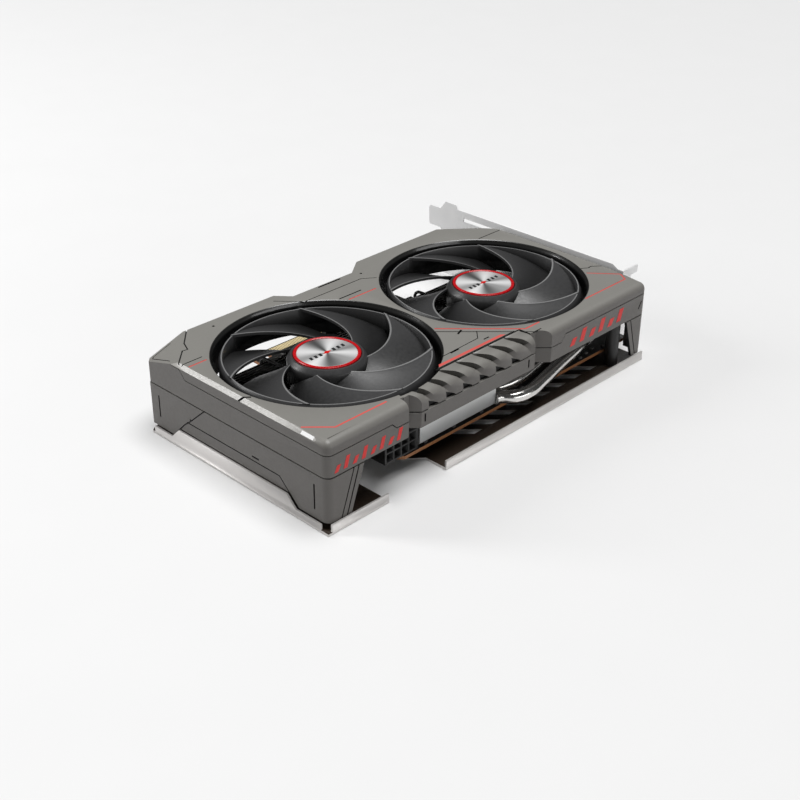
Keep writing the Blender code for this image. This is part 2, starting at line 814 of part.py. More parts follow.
def make_board():
    finger_end = BRACKET_X - CONNECTOR_START_FROM_BRACKET
    finger_start = finger_end - X16_LENGTH
    key_high = finger_end - KEY_FROM_START
    key_low = key_high - KEY_WIDTH
    key_depth = FINGER_EDGE - 7.0
    right = BRACKET_X - 1.0
    bevel = 0.8
    outline = [
        (PCB_TAIL + 3.0, PCB_NEAR),
        (right, PCB_NEAR),
        (right, 96.0),
        (finger_end + 4.0, 96.0 + 8.0),
        (finger_end + 4.0, PCB_FAR),
        (finger_end, PCB_FAR),
        (finger_end, FINGER_EDGE - bevel),
        (finger_end - bevel, FINGER_EDGE),
        (key_high + bevel, FINGER_EDGE),
        (key_high, FINGER_EDGE - bevel),
        (key_high, key_depth),
        (key_low, key_depth),
        (key_low, FINGER_EDGE - bevel),
        (key_low - bevel, FINGER_EDGE),
        (finger_start + bevel, FINGER_EDGE),
        (finger_start, FINGER_EDGE - bevel),
        (finger_start, PCB_FAR),
        (finger_start - 5.0, PCB_FAR),
        (finger_start - 5.0, FINGER_EDGE - 3.0),
        (finger_start - 8.0, FINGER_EDGE - 3.0),
        (finger_start - 8.0, PCB_FAR - 3.0),
        (PCB_TAIL, PCB_FAR - 3.0),
        (PCB_TAIL, PCB_NEAR + 3.0),
    ]
    plate("circuit_board", outline, PCB_BOTTOM, PCB_TOP, "board")
    seat = PCB_TOP + GAP
    block("gpu_package", (108.0, 38.0, seat), (138.0, 68.0, seat + 1.2), "chip")
    block("gpu_die", (116.0, 46.0, seat + 1.5), (130.0, 60.0, seat + 2.1), "chip")
    for index, (x, y) in enumerate(MEMORY_CORNERS):
        wide, deep, tall = MEMORY_SIZE
        block(f"memory_{index + 1}", (x, y, seat), (x + wide, y + deep, seat + tall), "chip")
    for index in range(4):
        y = 40.0 + 10.0 * index
        choke = block(f"choke_{index + 1}", (160.0, y, seat), (167.0, y + 7.0, seat + 4.0), "choke_grey")
        round_edges(choke, 0.6, 1, lambda a, b: abs(a.z - b.z) > 2)
    for index in range(3):
        name = f"capacitor_{index + 1}"
        centre = (172.0, 44.0 + 9.0 * index)
        cylinder(name, centre, seat, seat + 5.4, 3.1, "connector_steel", 20)
    low = (38.7, 9.5, PCB_TOP + GAP)
    socket = block("power_socket", low, (57.4, 20.5, 17.4), "black_plastic")
    holes = []
    for column in range(4):
        for row in range(2):
            x = low[0] + 1.1 + PIN_PITCH * column
            z = low[2] + 0.9 + PIN_PITCH * row
            far_corner = (x + PIN_HOLE, 17.5, z + PIN_HOLE)
            holes.append(block(f"pin_hole_{column}_{row}", (x, 5.0, z), far_corner))
    combine(socket, holes)


def make_ports():
    """Video connectors: a steel shell with a tongue, open through the bracket."""
    low, high = PORT_Z
    wall = PORT_WALL
    front = BRACKET_X + BRACKET_THICKNESS + 0.4
    for name, start, width in PORTS:
        end = start + width
        shell = block(name, (180.0, start, low), (front, end, high), "connector_steel")
        mouth_low = (182.0, start + wall, low + wall)
        mouth = block(name + "_mouth", mouth_low, (205.0, end - wall, high - wall))
        tongue_low = (181.0, start + PORT_TONGUE_MARGIN, 10.4)
        tongue = block(name + "_tongue", tongue_low, (196.0, end - PORT_TONGUE_MARGIN, 11.6))
        combine(shell, [mouth])
        combine(shell, [tongue], "UNION")


def make_bracket():
    tip = BRACKET_TAB_Y + BRACKET_LENGTH
    top = BRACKET_BOTTOM + BRACKET_WIDTH
    shoulder = tip - 7.6
    chamfer = 3.4
    half = TONGUE_WIDTH / 2
    centres = (TONGUE_CENTRE, TONGUE_CENTRE + SLOT_PITCH)
    outline = [
        (BRACKET_TAB_Y, BRACKET_BOTTOM),
        (shoulder - chamfer, BRACKET_BOTTOM),
        (shoulder, centres[0] - half),
        (tip - 1.0, centres[0] - half),
        (tip, centres[0] - half + 1.0),
        (tip, centres[0] + half - 1.0),
        (tip - 1.0, centres[0] + half),
        (shoulder, centres[0] + half),
        (shoulder - chamfer, centres[0] + half + 3.0),
        (shoulder - chamfer, centres[1] - half - 3.0),
        (shoulder, centres[1] - half),
        (tip - 1.0, centres[1] - half),
        (tip, centres[1] - half + 1.0),
        (tip, centres[1] + half - 1.0),
        (tip - 1.0, centres[1] + half),
        (shoulder, centres[1] + half),
        (shoulder - chamfer, top),
        (BRACKET_STEP_Y, top),
        (BRACKET_STEP_Y - 1.0, top - BRACKET_STEP),
        (BRACKET_TAB_Y + 6.0, top - BRACKET_STEP),
        (BRACKET_TAB_Y + 3.0, TAB_TOP),
        (BRACKET_TAB_Y, TAB_TOP),
    ]
    holes = []
    for _, start, width in PORTS:
        clear = GAP
        holes.append(
            [
                (start - clear, PORT_Z[0] - clear),
                (start + width + clear, PORT_Z[0] - clear),
                (start + width + clear, PORT_Z[1] + clear),
                (start - clear, PORT_Z[1] + clear),
            ]
        )
    for index in range(VENTS):
        start = VENT_START + VENT_PITCH * index
        end = start + VENT_WIDTH
        holes.append(
            [(start, 18.2), (end, 18.2), (end + VENT_LEAN, 27.4), (start + VENT_LEAN, 27.4)]
        )
    holes.append([(24.0, 34.2), (112.0, 34.2), (112.0, 36.2), (24.0, 36.2)])
    bracket = plate(
        "bracket", [outline, *holes], BRACKET_X, BRACKET_X + BRACKET_THICKNESS, "bracket_steel", "X"
    )
    tab = [
        (BRACKET_X + 0.2, BRACKET_BOTTOM + 1.0),
        (BRACKET_X + TAB_REACH, BRACKET_BOTTOM + 1.0),
        (BRACKET_X + TAB_REACH, TONGUE_CENTRE - 2.4),
        (BRACKET_X + TAB_REACH - 5.0, TONGUE_CENTRE - 2.4),
        (BRACKET_X + TAB_REACH - 5.0, TONGUE_CENTRE + 2.0),
        (BRACKET_X + TAB_REACH, TONGUE_CENTRE + 2.0),
        (BRACKET_X + TAB_REACH, TONGUE_CENTRE + SLOT_PITCH - 2.4),
        (BRACKET_X + TAB_REACH - 5.0, TONGUE_CENTRE + SLOT_PITCH - 2.4),
        (BRACKET_X + TAB_REACH - 5.0, TONGUE_CENTRE + SLOT_PITCH + 2.0),
        (BRACKET_X + TAB_REACH, TONGUE_CENTRE + SLOT_PITCH + 2.0),
        (BRACKET_X + TAB_REACH, TAB_TOP - 0.1),
        (BRACKET_X + 0.2, TAB_TOP - 0.1),
    ]
    flange = plate("bracket_tab", tab, BRACKET_TAB_Y, BRACKET_TAB_Y + BRACKET_THICKNESS, axis="Y")
    combine(bracket, [flange], "UNION")
    for index, y in enumerate(BRACKET_SCREW_Y):
        screw = cylinder(f"bracket_screw_{index + 1}", (0, 0), 0.0, 1.3, 1.9, "connector_steel", 20)
        screw.data.transform(Matrix.Translation(-world(0, 0, 0)))
        screw.data.transform(
            Matrix.Translation(world(BRACKET_X + BRACKET_THICKNESS + GAP, y, 10.9)) @ AXES["X"]
        )


def backplate_outline():
    return [
        (PLATE_EDGE, PLATE_EDGE),
        (WINDOW_START, PLATE_EDGE),
        (WINDOW_START, 84.0),
        (54.9, 84.0),
        (54.9, 16.4),
        (WINDOW_END, 9.8),
        (WINDOW_END, PLATE_EDGE),
        (PLATE_END, PLATE_EDGE),
        (PLATE_END, 96.0),
        (174.0, PLATE_FAR),
        (1.4, PLATE_FAR),
        (PLATE_EDGE, 104.4),
    ]


def make_backplate():
    tray = plate("backplate", backplate_outline(), 0.0, PLATE_THICKNESS, "silver_metal")
    holes = []
    along = Vector((-0.72, 0.69))
    across = Vector((PLATE_SLOT_HALF_WIDTH, 0.0))
    for index in range(PLATE_SLOTS):
        tip = Vector(PLATE_SLOT_START) + Vector((PLATE_SLOT_PITCH * index, 0.0))
        root = tip + along * PLATE_SLOT_LENGTH
        slot = [tuple(end) for end in (tip + across, root + across, root - across, tip - across)]
        holes.append(plate(f"slot_{index}", slot, -2.0, 4.0))
    for index, centre in enumerate(GPU_SCREWS):
        holes.append(cylinder(f"screw_hole_{index}", centre, -2.0, 4.0, 2.9, sides=20))
    step = 0.05
    outside = PLATE_EDGE + step
    inside = PLATE_EDGE + FLANGE
    low = 0.3
    near_end = (PLATE_END - step, inside, FLANGE_HEIGHT)
    walls = [
        block("flange_near_tail", (0.9, outside, low), (WINDOW_START - step, inside, FLANGE_HEIGHT)),
        block("flange_near", (WINDOW_END + step, outside, low), near_end),
        block("flange_far", (3.0, PLATE_FAR - FLANGE, low), (172.0, PLATE_FAR - step, 2.6)),
    ]
    tail = [
        (3.0, low),
        (103.0, low),
        (103.0, 3.4),
        (91.4, 3.4),
        (86.7, TAIL_FLANGE_HEIGHT),
        (21.5, TAIL_FLANGE_HEIGHT),
        (16.8, 3.4),
        (3.0, 3.4),
    ]
    walls.append(plate("flange_tail", tail, outside, inside, axis="X"))
    for index, (x, y) in enumerate(BOARD_BOSSES):
        walls.append(cylinder(f"boss_{index}", (x, y), 0.5, PCB_BOTTOM - GAP, 2.6, sides=16))
    combine(tray, walls, "UNION")
    combine(tray, holes)
    for index, (x, y) in enumerate(GPU_SCREWS):
        location = world(x, y, 0.0)
        profile = [
            (0.0, PCB_BOTTOM - GAP),
            (1.4, PCB_BOTTOM - GAP),
            (1.4, 1.5),
            (2.5, 1.5),
            (2.5, 0.15),
            (0.0, 0.15),
        ]
        turned(f"gpu_screw_{index + 1}", profile, "connector_steel", 20, location)


def make_post():
    """The round post between the backplate and the cover, beside the bracket."""
    cylinder("cover_post", (179.3, 5.3), PLATE_THICKNESS + GAP, 21.8, 3.1, "black_plastic", 24)


def make_leads():
    """Fan leads, held along the top of the fins and down to their headers."""
    drop = HEADER_Y
    for label, x in zip(FAN_NAMES, FAN_X):
        route = [
            (x, FAN_Y + 4.0, 19.5),
            (x, FAN_Y + 20.0, 19.5),
            (x, 90.0, 19.5),
            (x, drop - 1.5, 19.0),
            (x, drop, 17.0),
            (x, drop, 12.8),
        ]
        tube(f"fan_lead_{label}", smooth(route), 1.5, "lead_black")
        block(
            f"fan_header_{label}",
            (x - 4.0, drop - 2.4, PCB_TOP + GAP),
            (x + 4.0, drop + 2.4, 12.5),
            "black_plastic",
        )


def build():
    make_cover()
    make_rib_strip()
    make_bands()
    make_tail_skirt()
    make_bracket_leg()
    for fan in range(2):
        make_rotor(fan)
        make_motor(fan)
    make_cooler()
    make_board()
    make_ports()
    make_bracket()
    make_backplate()
    make_post()
    make_leads()


build()
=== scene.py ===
"""Looks for the dual-fan graphics card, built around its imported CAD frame.

Sizes are card millimetres: x from the tail face to the bracket, y from the open long side to the
edge fingers, z up from the backplate's underside.
"""

import math

import bmesh
import bpy
from mathutils import Matrix, Vector


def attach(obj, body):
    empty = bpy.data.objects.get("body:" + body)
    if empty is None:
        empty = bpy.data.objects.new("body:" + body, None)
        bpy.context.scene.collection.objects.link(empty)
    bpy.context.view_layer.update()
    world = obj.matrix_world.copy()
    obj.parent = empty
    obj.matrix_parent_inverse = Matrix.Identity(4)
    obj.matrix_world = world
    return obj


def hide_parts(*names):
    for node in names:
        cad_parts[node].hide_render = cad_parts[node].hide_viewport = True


MM = 0.001
MID_X = 103.915
MID_Y = 66.96

COVER_LENGTH = 195.2
COVER_WIDTH = 106.6
TOP = 38.2
WALL = 1.8
SKIN = 1.4
SEAM = 0.45
BAND_BOTTOM = 23.0
BAND_TOP = 32.8
BAND_TOP_LOW = 30.4
BAND_TOP_RIGHT = 33.6
SKIRT_BOTTOM = 3.9
SKIRT_BOTTOM_MIDDLE = 8.4
STEP_X = 41.8
MIDDLE_END = 118.3
CORNER_RADIUS = 3.2
CORNER_STEPS = 6
TOP_EDGE_RADIUS = 4.4
CEILING = 36.0
BOARD_TOP = 7.5
BOARD_BOTTOM = 6.07
FAN_X = (50.0, 145.2)
FAN_Y = 53.3
FAN_NAMES = ("left", "right")
FAN_PHASE = (4.0, -15.0)
BLADES = 7
ROUND_STEPS = 144
CAP_STEPS = 128
# How far the cap's painted reflection is turned round the axis, in degrees.
CAP_REFLECTION_TURN = 180.0
OPENING_RADIUS = 45.9
LIP_RADIUS = 46.6
ROTOR_RADIUS = 43.3
HUB_RADIUS = 16.4
HUB_TOP = 36.6
CAP_RADIUS = 12.3
CAP_RING_RADIUS = 13.7

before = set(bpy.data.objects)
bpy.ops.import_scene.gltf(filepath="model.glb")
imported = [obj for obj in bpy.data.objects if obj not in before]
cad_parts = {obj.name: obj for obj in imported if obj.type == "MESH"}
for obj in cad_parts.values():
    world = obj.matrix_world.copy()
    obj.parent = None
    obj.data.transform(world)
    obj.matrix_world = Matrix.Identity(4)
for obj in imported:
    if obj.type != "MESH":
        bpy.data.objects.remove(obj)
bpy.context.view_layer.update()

LOOKS = bpy.data.collections.new("looks")
CUTTERS = bpy.data.collections.new("cutters")
for group in (LOOKS, CUTTERS):
    bpy.context.scene.collection.children.link(group)


# ---------------------------------------------------------------- materials


def shader_material(name, rgb, roughness, metallic=0.0):
    material = bpy.data.materials.new(name)
    material.use_nodes = True
    tree = material.node_tree
    shader = tree.nodes["Principled BSDF"]
    shader.inputs["Base Color"].default_value = (*rgb, 1.0)
    shader.inputs["Roughness"].default_value = roughness
    shader.inputs["Metallic"].default_value = metallic
    material.diffuse_color = (*rgb, 1.0)
    return material, tree, shader


def place_noise(tree, scale, detail=2.0, stretch=(1, 1, 1)):
    """Noise in metres of the part's own coordinates."""
    where = tree.nodes.new("ShaderNodeTexCoord")
    mapping = tree.nodes.new("ShaderNodeMapping")
    mapping.inputs["Scale"].default_value = stretch
    noise = tree.nodes.new("ShaderNodeTexNoise")
    noise.inputs["Scale"].default_value = scale
    noise.inputs["Detail"].default_value = detail
    tree.links.new(where.outputs["Object"], mapping.inputs["Vector"])
    tree.links.new(mapping.outputs["Vector"], noise.inputs["Vector"])
    return noise.outputs["Fac"]


def ramp(tree, source, low, high, start=0.35, end=0.65):
    """Maps a 0 to 1 value onto low to high."""
    node = tree.nodes.new("ShaderNodeMapRange")
    node.inputs["From Min"].default_value = start
    node.inputs["From Max"].default_value = end
    node.inputs["To Min"].default_value = low
    node.inputs["To Max"].default_value = high
    tree.links.new(source, node.inputs["Value"])
    return node.outputs["Result"]


def tint(tree, shader, source, dark, light, start=0.3, end=0.7):
    node = tree.nodes.new("ShaderNodeValToRGB")
    node.color_ramp.elements[0].position = start
    node.color_ramp.elements[1].position = end
    node.color_ramp.elements[0].color = (*dark, 1.0)
    node.color_ramp.elements[1].color = (*light, 1.0)
    tree.links.new(source, node.inputs["Fac"])
    tree.links.new(node.outputs["Color"], shader.inputs["Base Color"])


def bump(tree, shader, source, depth, strength=1.0):
    node = tree.nodes.new("ShaderNodeBump")
    node.inputs["Distance"].default_value = depth
    node.inputs["Strength"].default_value = strength
    tree.links.new(source, node.inputs["Height"])
    tree.links.new(node.outputs["Normal"], shader.inputs["Normal"])


GRAIN = 900.0


def drift(tree, shader, rgb, scale, detail, spread):
    """A colour that wanders a little darker and lighter, in broad patches."""
    dark, light = (tuple(channel * factor for channel in rgb) for factor in (1.0 - spread, 1.0 + spread))
    tint(tree, shader, place_noise(tree, scale, detail), dark, light)


def grained(tree, shader, roughness, grain, depth, sheen):
    """The fine grain of moulded or sprayed plastic, with a clear coat if asked."""
    fine = place_noise(tree, grain, 2.0)
    tree.links.new(ramp(tree, fine, roughness - 0.05, roughness + 0.06), shader.inputs["Roughness"])
    bump(tree, shader, fine, depth, 0.5)
    if sheen:
        shader.inputs["Coat Weight"].default_value = sheen
        shader.inputs["Coat Roughness"].default_value = 0.35


def moulded(name, rgb, roughness, grain=GRAIN, depth=0.00002, spread=0.08, metallic=0.0, sheen=0.0):
    """Moulded or sprayed plastic: a fine grain, with a little drift in colour and gloss."""
    material, tree, shader = shader_material(name, rgb, roughness, metallic)
    drift(tree, shader, rgb, 25.0, 3.0, spread)
    grained(tree, shader, roughness, grain, depth, sheen)
    return material


def brushed(name, rgb, roughness, stretch, grain=220.0, spread=0.10):
    """Metal with fine lines drawn out along one axis."""
    material, tree, shader = shader_material(name, rgb, roughness, 1.0)
    lines = place_noise(tree, grain, 3.0, stretch)
    drift(tree, shader, rgb, 30.0, 2.0, spread)
    tree.links.new(ramp(tree, lines, roughness - 0.08, roughness + 0.10), shader.inputs["Roughness"])
    bump(tree, shader, lines, 0.00002, 0.4)
    return material


# The cap's painted reflection: where each light or dark sector stands round the axis, and its grey level.
CAP_PAINTED_REFLECTION = (
    (0.10, 0.95), (0.22, 0.10), (0.375, 0.95), (0.47, 0.40), (0.55, 0.95), (0.65, 0.14),
    (0.78, 0.42), (0.875, 0.95), (0.95, 0.32),
)


def spun(name):
    """A turned metal face: fine lines round the axis, with a painted reflection: light and dark sectors in
    its colour that stand for the bow-tie highlight of turned metal.
    """
    material, tree, shader = shader_material(name, (0.78, 0.78, 0.78), 0.30, 0.35)
    where = tree.nodes.new("ShaderNodeTexCoord")
    turn = tree.nodes.new("ShaderNodeTexGradient")
    turn.gradient_type = "RADIAL"
    centre = tree.nodes.new("ShaderNodeMapping")
    centre.inputs["Rotation"].default_value = (0.0, 0.0, math.radians(CAP_REFLECTION_TURN))
    tree.links.new(where.outputs["Object"], centre.inputs["Vector"])
    tree.links.new(centre.outputs["Vector"], turn.inputs["Vector"])
    # The painted reflection: grey levels by angle round the axis, put into the base colour.
    painted_reflection = tree.nodes.new("ShaderNodeValToRGB")
    painted_reflection.color_ramp.interpolation = "EASE"
    for stop in painted_reflection.color_ramp.elements:
        stop.color = (0.50, 0.50, 0.50, 1.0)
    for place, level in CAP_PAINTED_REFLECTION:
        stop = painted_reflection.color_ramp.elements.new(place)
        stop.color = (level, level, level, 1.0)
    tree.links.new(turn.outputs["Fac"], painted_reflection.inputs["Fac"])
    tree.links.new(painted_reflection.outputs["Color"], shader.inputs["Base Color"])
    wave = tree.nodes.new("ShaderNodeTexWave")
    wave.wave_type = "RINGS"
    wave.rings_direction = "Z"
    wave.inputs["Scale"].default_value = 900.0
    wave.inputs["Distortion"].default_value = 1.5
    tree.links.new(where.outputs["Object"], wave.inputs["Vector"])
    tree.links.new(ramp(tree, wave.outputs["Fac"], 0.30, 0.42, 0.0, 1.0), shader.inputs["Roughness"])
    return material


def height_of(tree, output):
    """The third number of a coordinate: the height, or how far a face looks up."""
    where = tree.nodes.new("ShaderNodeTexCoord")
    parts = tree.nodes.new("ShaderNodeSeparateXYZ")
    tree.links.new(where.outputs[output], parts.inputs["Vector"])
    return parts.outputs["Z"]


def painted_shade_plastic(name, low, high, output, start, end, roughness, sheen, depth=0.00001):
    """Plastic with painted shade: its tone runs from a darker one to a lighter one with height or with how
    far a face looks up, with a fine grain over it.
    """
    material, tree, shader = shader_material(name, high, roughness)
    tint(tree, shader, height_of(tree, output), low, high, start, end)
    grained(tree, shader, roughness, GRAIN, depth, sheen)
    return material


def speckled(name, rgb, spot, roughness, scale):
    """A board or casting with a fine two-tone speckle."""
    material, tree, shader = shader_material(name, rgb, roughness)
    fine = place_noise(tree, scale, 4.0)
    tint(tree, shader, fine, rgb, spot)
    bump(tree, shader, fine, 0.00003, 0.5)
    return material


M = {
    # Painted shade: faces that look up get the lighter tone, the sides and tail the darker one, standing
    # for the light from above.
    "shroud": painted_shade_plastic(
        "shroud_grey", (0.098, 0.091, 0.084), (0.222, 0.216, 0.200), "Normal", 0.15, 0.95, 0.42, 0.08,
        depth=0.00002,
    ),
    # Painted shade: near-black for the walls that cutters leave in grooves, slots, notches and hollows,
    # standing for the shade in them.
    "seam": moulded("seam_painted_shade", (0.004, 0.004, 0.004), 0.7),
    "accent": moulded("accent_red", (0.62, 0.10, 0.085), 0.45, spread=0.05),
    "mark": moulded("mark_red", (0.60, 0.006, 0.004), 0.40, spread=0.05),
    "ring": moulded("ring_red", (0.50, 0.004, 0.008), 0.28, spread=0.06),
    "lip": moulded("lip_satin", (0.016, 0.016, 0.015), 0.16, grain=40.0, depth=0.0, sheen=0.8),
    # Painted highlight: a lighter grey for the blades' leading edges and the rotor ring's top, standing for
    # the light these thin edges catch.
    "edge_highlight": moulded("blade_edge_grey", (0.20, 0.20, 0.20), 0.34),
    # Painted shade: near-black for the upper part of the ribs' steep walls, standing for the shade in their
    # recesses.
    "rib_painted_shade": moulded("rib_painted_shade", (0.035, 0.033, 0.028), 0.6),
    # Painted highlight: a lighter, glossier copy of the shroud plastic for the tail bevel; the lighter tone
    # stands for the light the bevel catches.
    "bevel": moulded("bevel_painted_highlight", (0.34, 0.33, 0.31), 0.30, sheen=0.3),
    "insert": moulded("insert_pale", (0.80, 0.80, 0.80), 0.4),
    # Painted shade: the rotor's plastic darkens towards the bottom, standing for the shadow deep between
    # the blades.
    "fan": painted_shade_plastic(
        "fan_black", (0.0015, 0.0015, 0.0015), (0.052, 0.052, 0.053), "Object", 0.0295, 0.0368, 0.38, 0.10
    ),
    "inner": moulded("inner_black", (0.006, 0.006, 0.006), 0.55),
    "cap": spun("spun_cap"),
    "ink": moulded("cap_ink", (0.010, 0.010, 0.011), 0.5),
    "silver": moulded("coated_silver", (0.62, 0.60, 0.585), 0.34, metallic=0.45),
    "tray": moulded("tray_inside", (0.030, 0.020, 0.014), 0.38),
    "steel": moulded("bracket_steel_look", (0.86, 0.86, 0.86), 0.45, grain=300.0),
    "fins": brushed("fin_sheet", (0.62, 0.62, 0.61), 0.34, (0.08, 1, 1)),
    "fin_side": moulded("fin_side_sheet", (0.62, 0.63, 0.63), 0.40, metallic=0.5),
    "nickel": brushed("nickel_plate", (0.66, 0.65, 0.63), 0.17, (1, 1, 1), 500.0),
    "copper": brushed("copper_look", (0.62, 0.27, 0.13), 0.30, (1, 1, 1)),
    "board": speckled("board_mask", (0.010, 0.011, 0.010), (0.020, 0.020, 0.018), 0.42, 700.0),
    "board_edge": speckled("board_edge", (0.26, 0.10, 0.035), (0.40, 0.17, 0.06), 0.55, 900.0),
    "gold": moulded("gold_contacts", (0.90, 0.74, 0.42), 0.35, metallic=0.25),
    "black": moulded("connector_black", (0.010, 0.010, 0.010), 0.45),
    "chip": speckled("chip_case", (0.016, 0.016, 0.018), (0.028, 0.028, 0.030), 0.5, 900.0),
    "plated": brushed("plated_steel", (0.55, 0.55, 0.55), 0.30, (1, 1, 1), 400.0),
    "ferrite": speckled("ferrite", (0.085, 0.085, 0.085), (0.125, 0.125, 0.120), 0.6, 800.0),
    "wire": moulded("wire_black", (0.010, 0.010, 0.010), 0.5),
    "floor": moulded("studio_floor", (0.765, 0.765, 0.765), 0.9, grain=60.0, depth=0.0, spread=0.004),
}


# ---------------------------------------------------------------- mesh tools


def at(x, y, z):
    """A point of the card, in metres."""
    return Vector((x - MID_X, y - MID_Y, z)) * MM


def item_for(name, mesh, materials=None):
    """An object for a mesh: a visible piece if it has materials, or else a cutter."""
    item = bpy.data.objects.new(name, mesh)
    if materials is None:
        CUTTERS.objects.link(item)
        item.hide_render = True
    else:
        LOOKS.objects.link(item)
    # A cutter carries the near-black seam material, which the faces it cuts take on: painted shade.
    for key in materials or ("seam",):
        mesh.materials.append(M[key])
    return item


def opened(mesh):
    """A bmesh of a mesh."""
    solid = bmesh.new()
    solid.from_mesh(mesh)
    return solid


def close(solid, mesh):
    solid.to_mesh(mesh)
    solid.free()


def mesh_of(solid, name):
    """A new mesh from a bmesh, which is then freed."""
    mesh = bpy.data.meshes.new(name)
    close(solid, mesh)
    return mesh


def mesh_of_curve(curve, name):
    """A new mesh, without materials, from a curve."""
    guide = bpy.data.objects.new(name, curve)
    bpy.context.scene.collection.objects.link(guide)
    evaluated = guide.evaluated_get(bpy.context.evaluated_depsgraph_get())
    mesh = bpy.data.meshes.new_from_object(evaluated)
    bpy.data.objects.remove(guide)
    mesh.materials.clear()
    return mesh


def coat(item, *keys):
    """New materials for an object; clearing the old ones resets the faces' choice, so it is put back."""
    mesh = item.data
    finish = [face.material_index for face in mesh.polygons]
    mesh.materials.clear()
    for key in keys:
        mesh.materials.append(M[key])
    mesh.polygons.foreach_set("material_index", finish)
    return item


AXES = {
    "Z": Matrix.Identity(4),
    "Y": Matrix(((1, 0, 0, 0), (0, 0, -1, 0), (0, 1, 0, 0), (0, 0, 0, 1))),
    "X": Matrix(((0, 0, 1, 0), (1, 0, 0, 0), (0, 1, 0, 0), (0, 0, 0, 1))),
}


def plate(name, outlines, low, high, materials=None, axis="Z"):
    """A flat outline, with any holes, thickened along an axis."""
    if isinstance(outlines[0][0], (int, float)):
        outlines = [outlines]
    curve = bpy.data.curves.new(name, "CURVE")
    curve.dimensions = "2D"
    curve.fill_mode = "BOTH"
    curve.extrude = (high - low) / 2 * MM
    for outline in outlines:
        spline = curve.splines.new("POLY")
        spline.points.add(len(outline) - 1)
        for point, (across, up) in zip(spline.points, outline):
            point.co = (across * MM, up * MM, 0.0, 1.0)
        spline.use_cyclic_u = True
    mesh = mesh_of_curve(curve, name)
    middle = (low + high) / 2
    offset = {"Z": (0, 0, middle), "Y": (0, middle, 0), "X": (middle, 0, 0)}[axis]
    shift = Vector((offset[0] - MID_X, offset[1] - MID_Y, offset[2])) * MM
    mesh.transform(Matrix.Translation(shift) @ AXES[axis])
    solid = opened(mesh)
    bmesh.ops.remove_doubles(solid, verts=solid.verts, dist=1e-6)
    if len(outlines) == 1:
        bmesh.ops.dissolve_limit(solid, angle_limit=0.01, verts=solid.verts, edges=solid.edges)
    bmesh.ops.recalc_face_normals(solid, faces=solid.faces)
    close(solid, mesh)
    for face in mesh.polygons:
        face.material_index = 0
    return item_for(name, mesh, materials)


def boxes(name, corners, materials=None):
    """Many small closed boxes as one mesh; a corner pair each, in card millimetres."""
    solid = bmesh.new()
    for low, high in corners:
        made = bmesh.ops.create_cube(solid, size=1.0)["verts"]
        bmesh.ops.scale(solid, vec=[(b - a) * MM for a, b in zip(low, high)], verts=made)
        centre = at(*[(a + b) / 2 for a, b in zip(low, high)])
        bmesh.ops.translate(solid, vec=centre, verts=made)
    return item_for(name, mesh_of(solid, name), materials)


def turned(name, profile, centre, materials=None, steps=96):
    """A profile of (radius, z) points turned about an upright axis at centre (x, y)."""
    solid = bmesh.new()
    verts = [solid.verts.new((radius * MM, 0.0, z * MM)) for radius, z in profile]
    edges = [solid.edges.new((a, b)) for a, b in zip(verts, verts[1:])]
    bmesh.ops.spin(
        solid, geom=verts + edges, cent=(0, 0, 0), axis=(0, 0, 1), angle=math.tau, steps=steps,
        use_merge=True, use_duplicate=False,
    )
    bmesh.ops.remove_doubles(solid, verts=solid.verts, dist=1e-7)
    bmesh.ops.recalc_face_normals(solid, faces=solid.faces)
    item = item_for(name, mesh_of(solid, name), materials)
    item.location = at(*centre, 0.0)
    return item


def closed(profile):
    return [*profile, profile[0]]


def applied(item):
    """Bakes the modifiers into the mesh."""
    bpy.context.view_layer.update()
    evaluated = item.evaluated_get(bpy.context.evaluated_depsgraph_get())
    mesh = bpy.data.meshes.new_from_object(evaluated)
    item.modifiers.clear()
    item.data = mesh


def combine(item, others, operation="DIFFERENCE"):
    """One exact Boolean with a group of objects, which are then removed."""
    group = bpy.data.collections.new(item.name + "_group")
    bpy.context.scene.collection.children.link(group)
    for other in others:
        group.objects.link(other)
    modifier = item.modifiers.new("cut", "BOOLEAN")
    modifier.operation = operation
    modifier.solver = "EXACT"
    modifier.material_mode = "TRANSFER"
    modifier.operand_type = "COLLECTION"
    modifier.collection = group
    applied(item)
    for other in others:
        bpy.data.objects.remove(other)
    bpy.data.collections.remove(group)
    return item


def crisp(item, angle=32.0):
    """Smooth shading, with edges sharper than the angle kept."""
    mesh = item.data
    for face in mesh.polygons:
        face.use_smooth = True
    mesh.set_sharp_from_angle(angle=math.radians(angle))
    return item


def round_edges(item, width, segments, pick):
    """Rounds the edges whose two ends pass the test, which is given them in card millimetres."""
    solid = opened(item.data)
    chosen = []
    for edge in solid.edges:
        ends = [vert.co / MM + Vector((MID_X, MID_Y, 0)) for vert in edge.verts]
        if pick(*ends):
            chosen.append(edge)
    bmesh.ops.bevel(
        solid, geom=chosen, offset=width * MM, segments=segments, profile=0.5, affect="EDGES",
        clamp_overlap=True,
    )
    close(solid, item.data)


def slice_off(item, point, normal):
    """Removes what lies beyond a plane, and closes the cut."""
    solid = opened(item.data)
    geometry = [*solid.verts, *solid.edges, *solid.faces]
    cut = bmesh.ops.bisect_plane(
        solid, geom=geometry, plane_co=at(*point), plane_no=Vector(normal), clear_outer=True
    )
    rim = [part for part in cut["geom_cut"] if isinstance(part, bmesh.types.BMEdge)]
    bmesh.ops.contextual_create(solid, geom=rim)
    bmesh.ops.recalc_face_normals(solid, faces=solid.faces)
    close(solid, item.data)


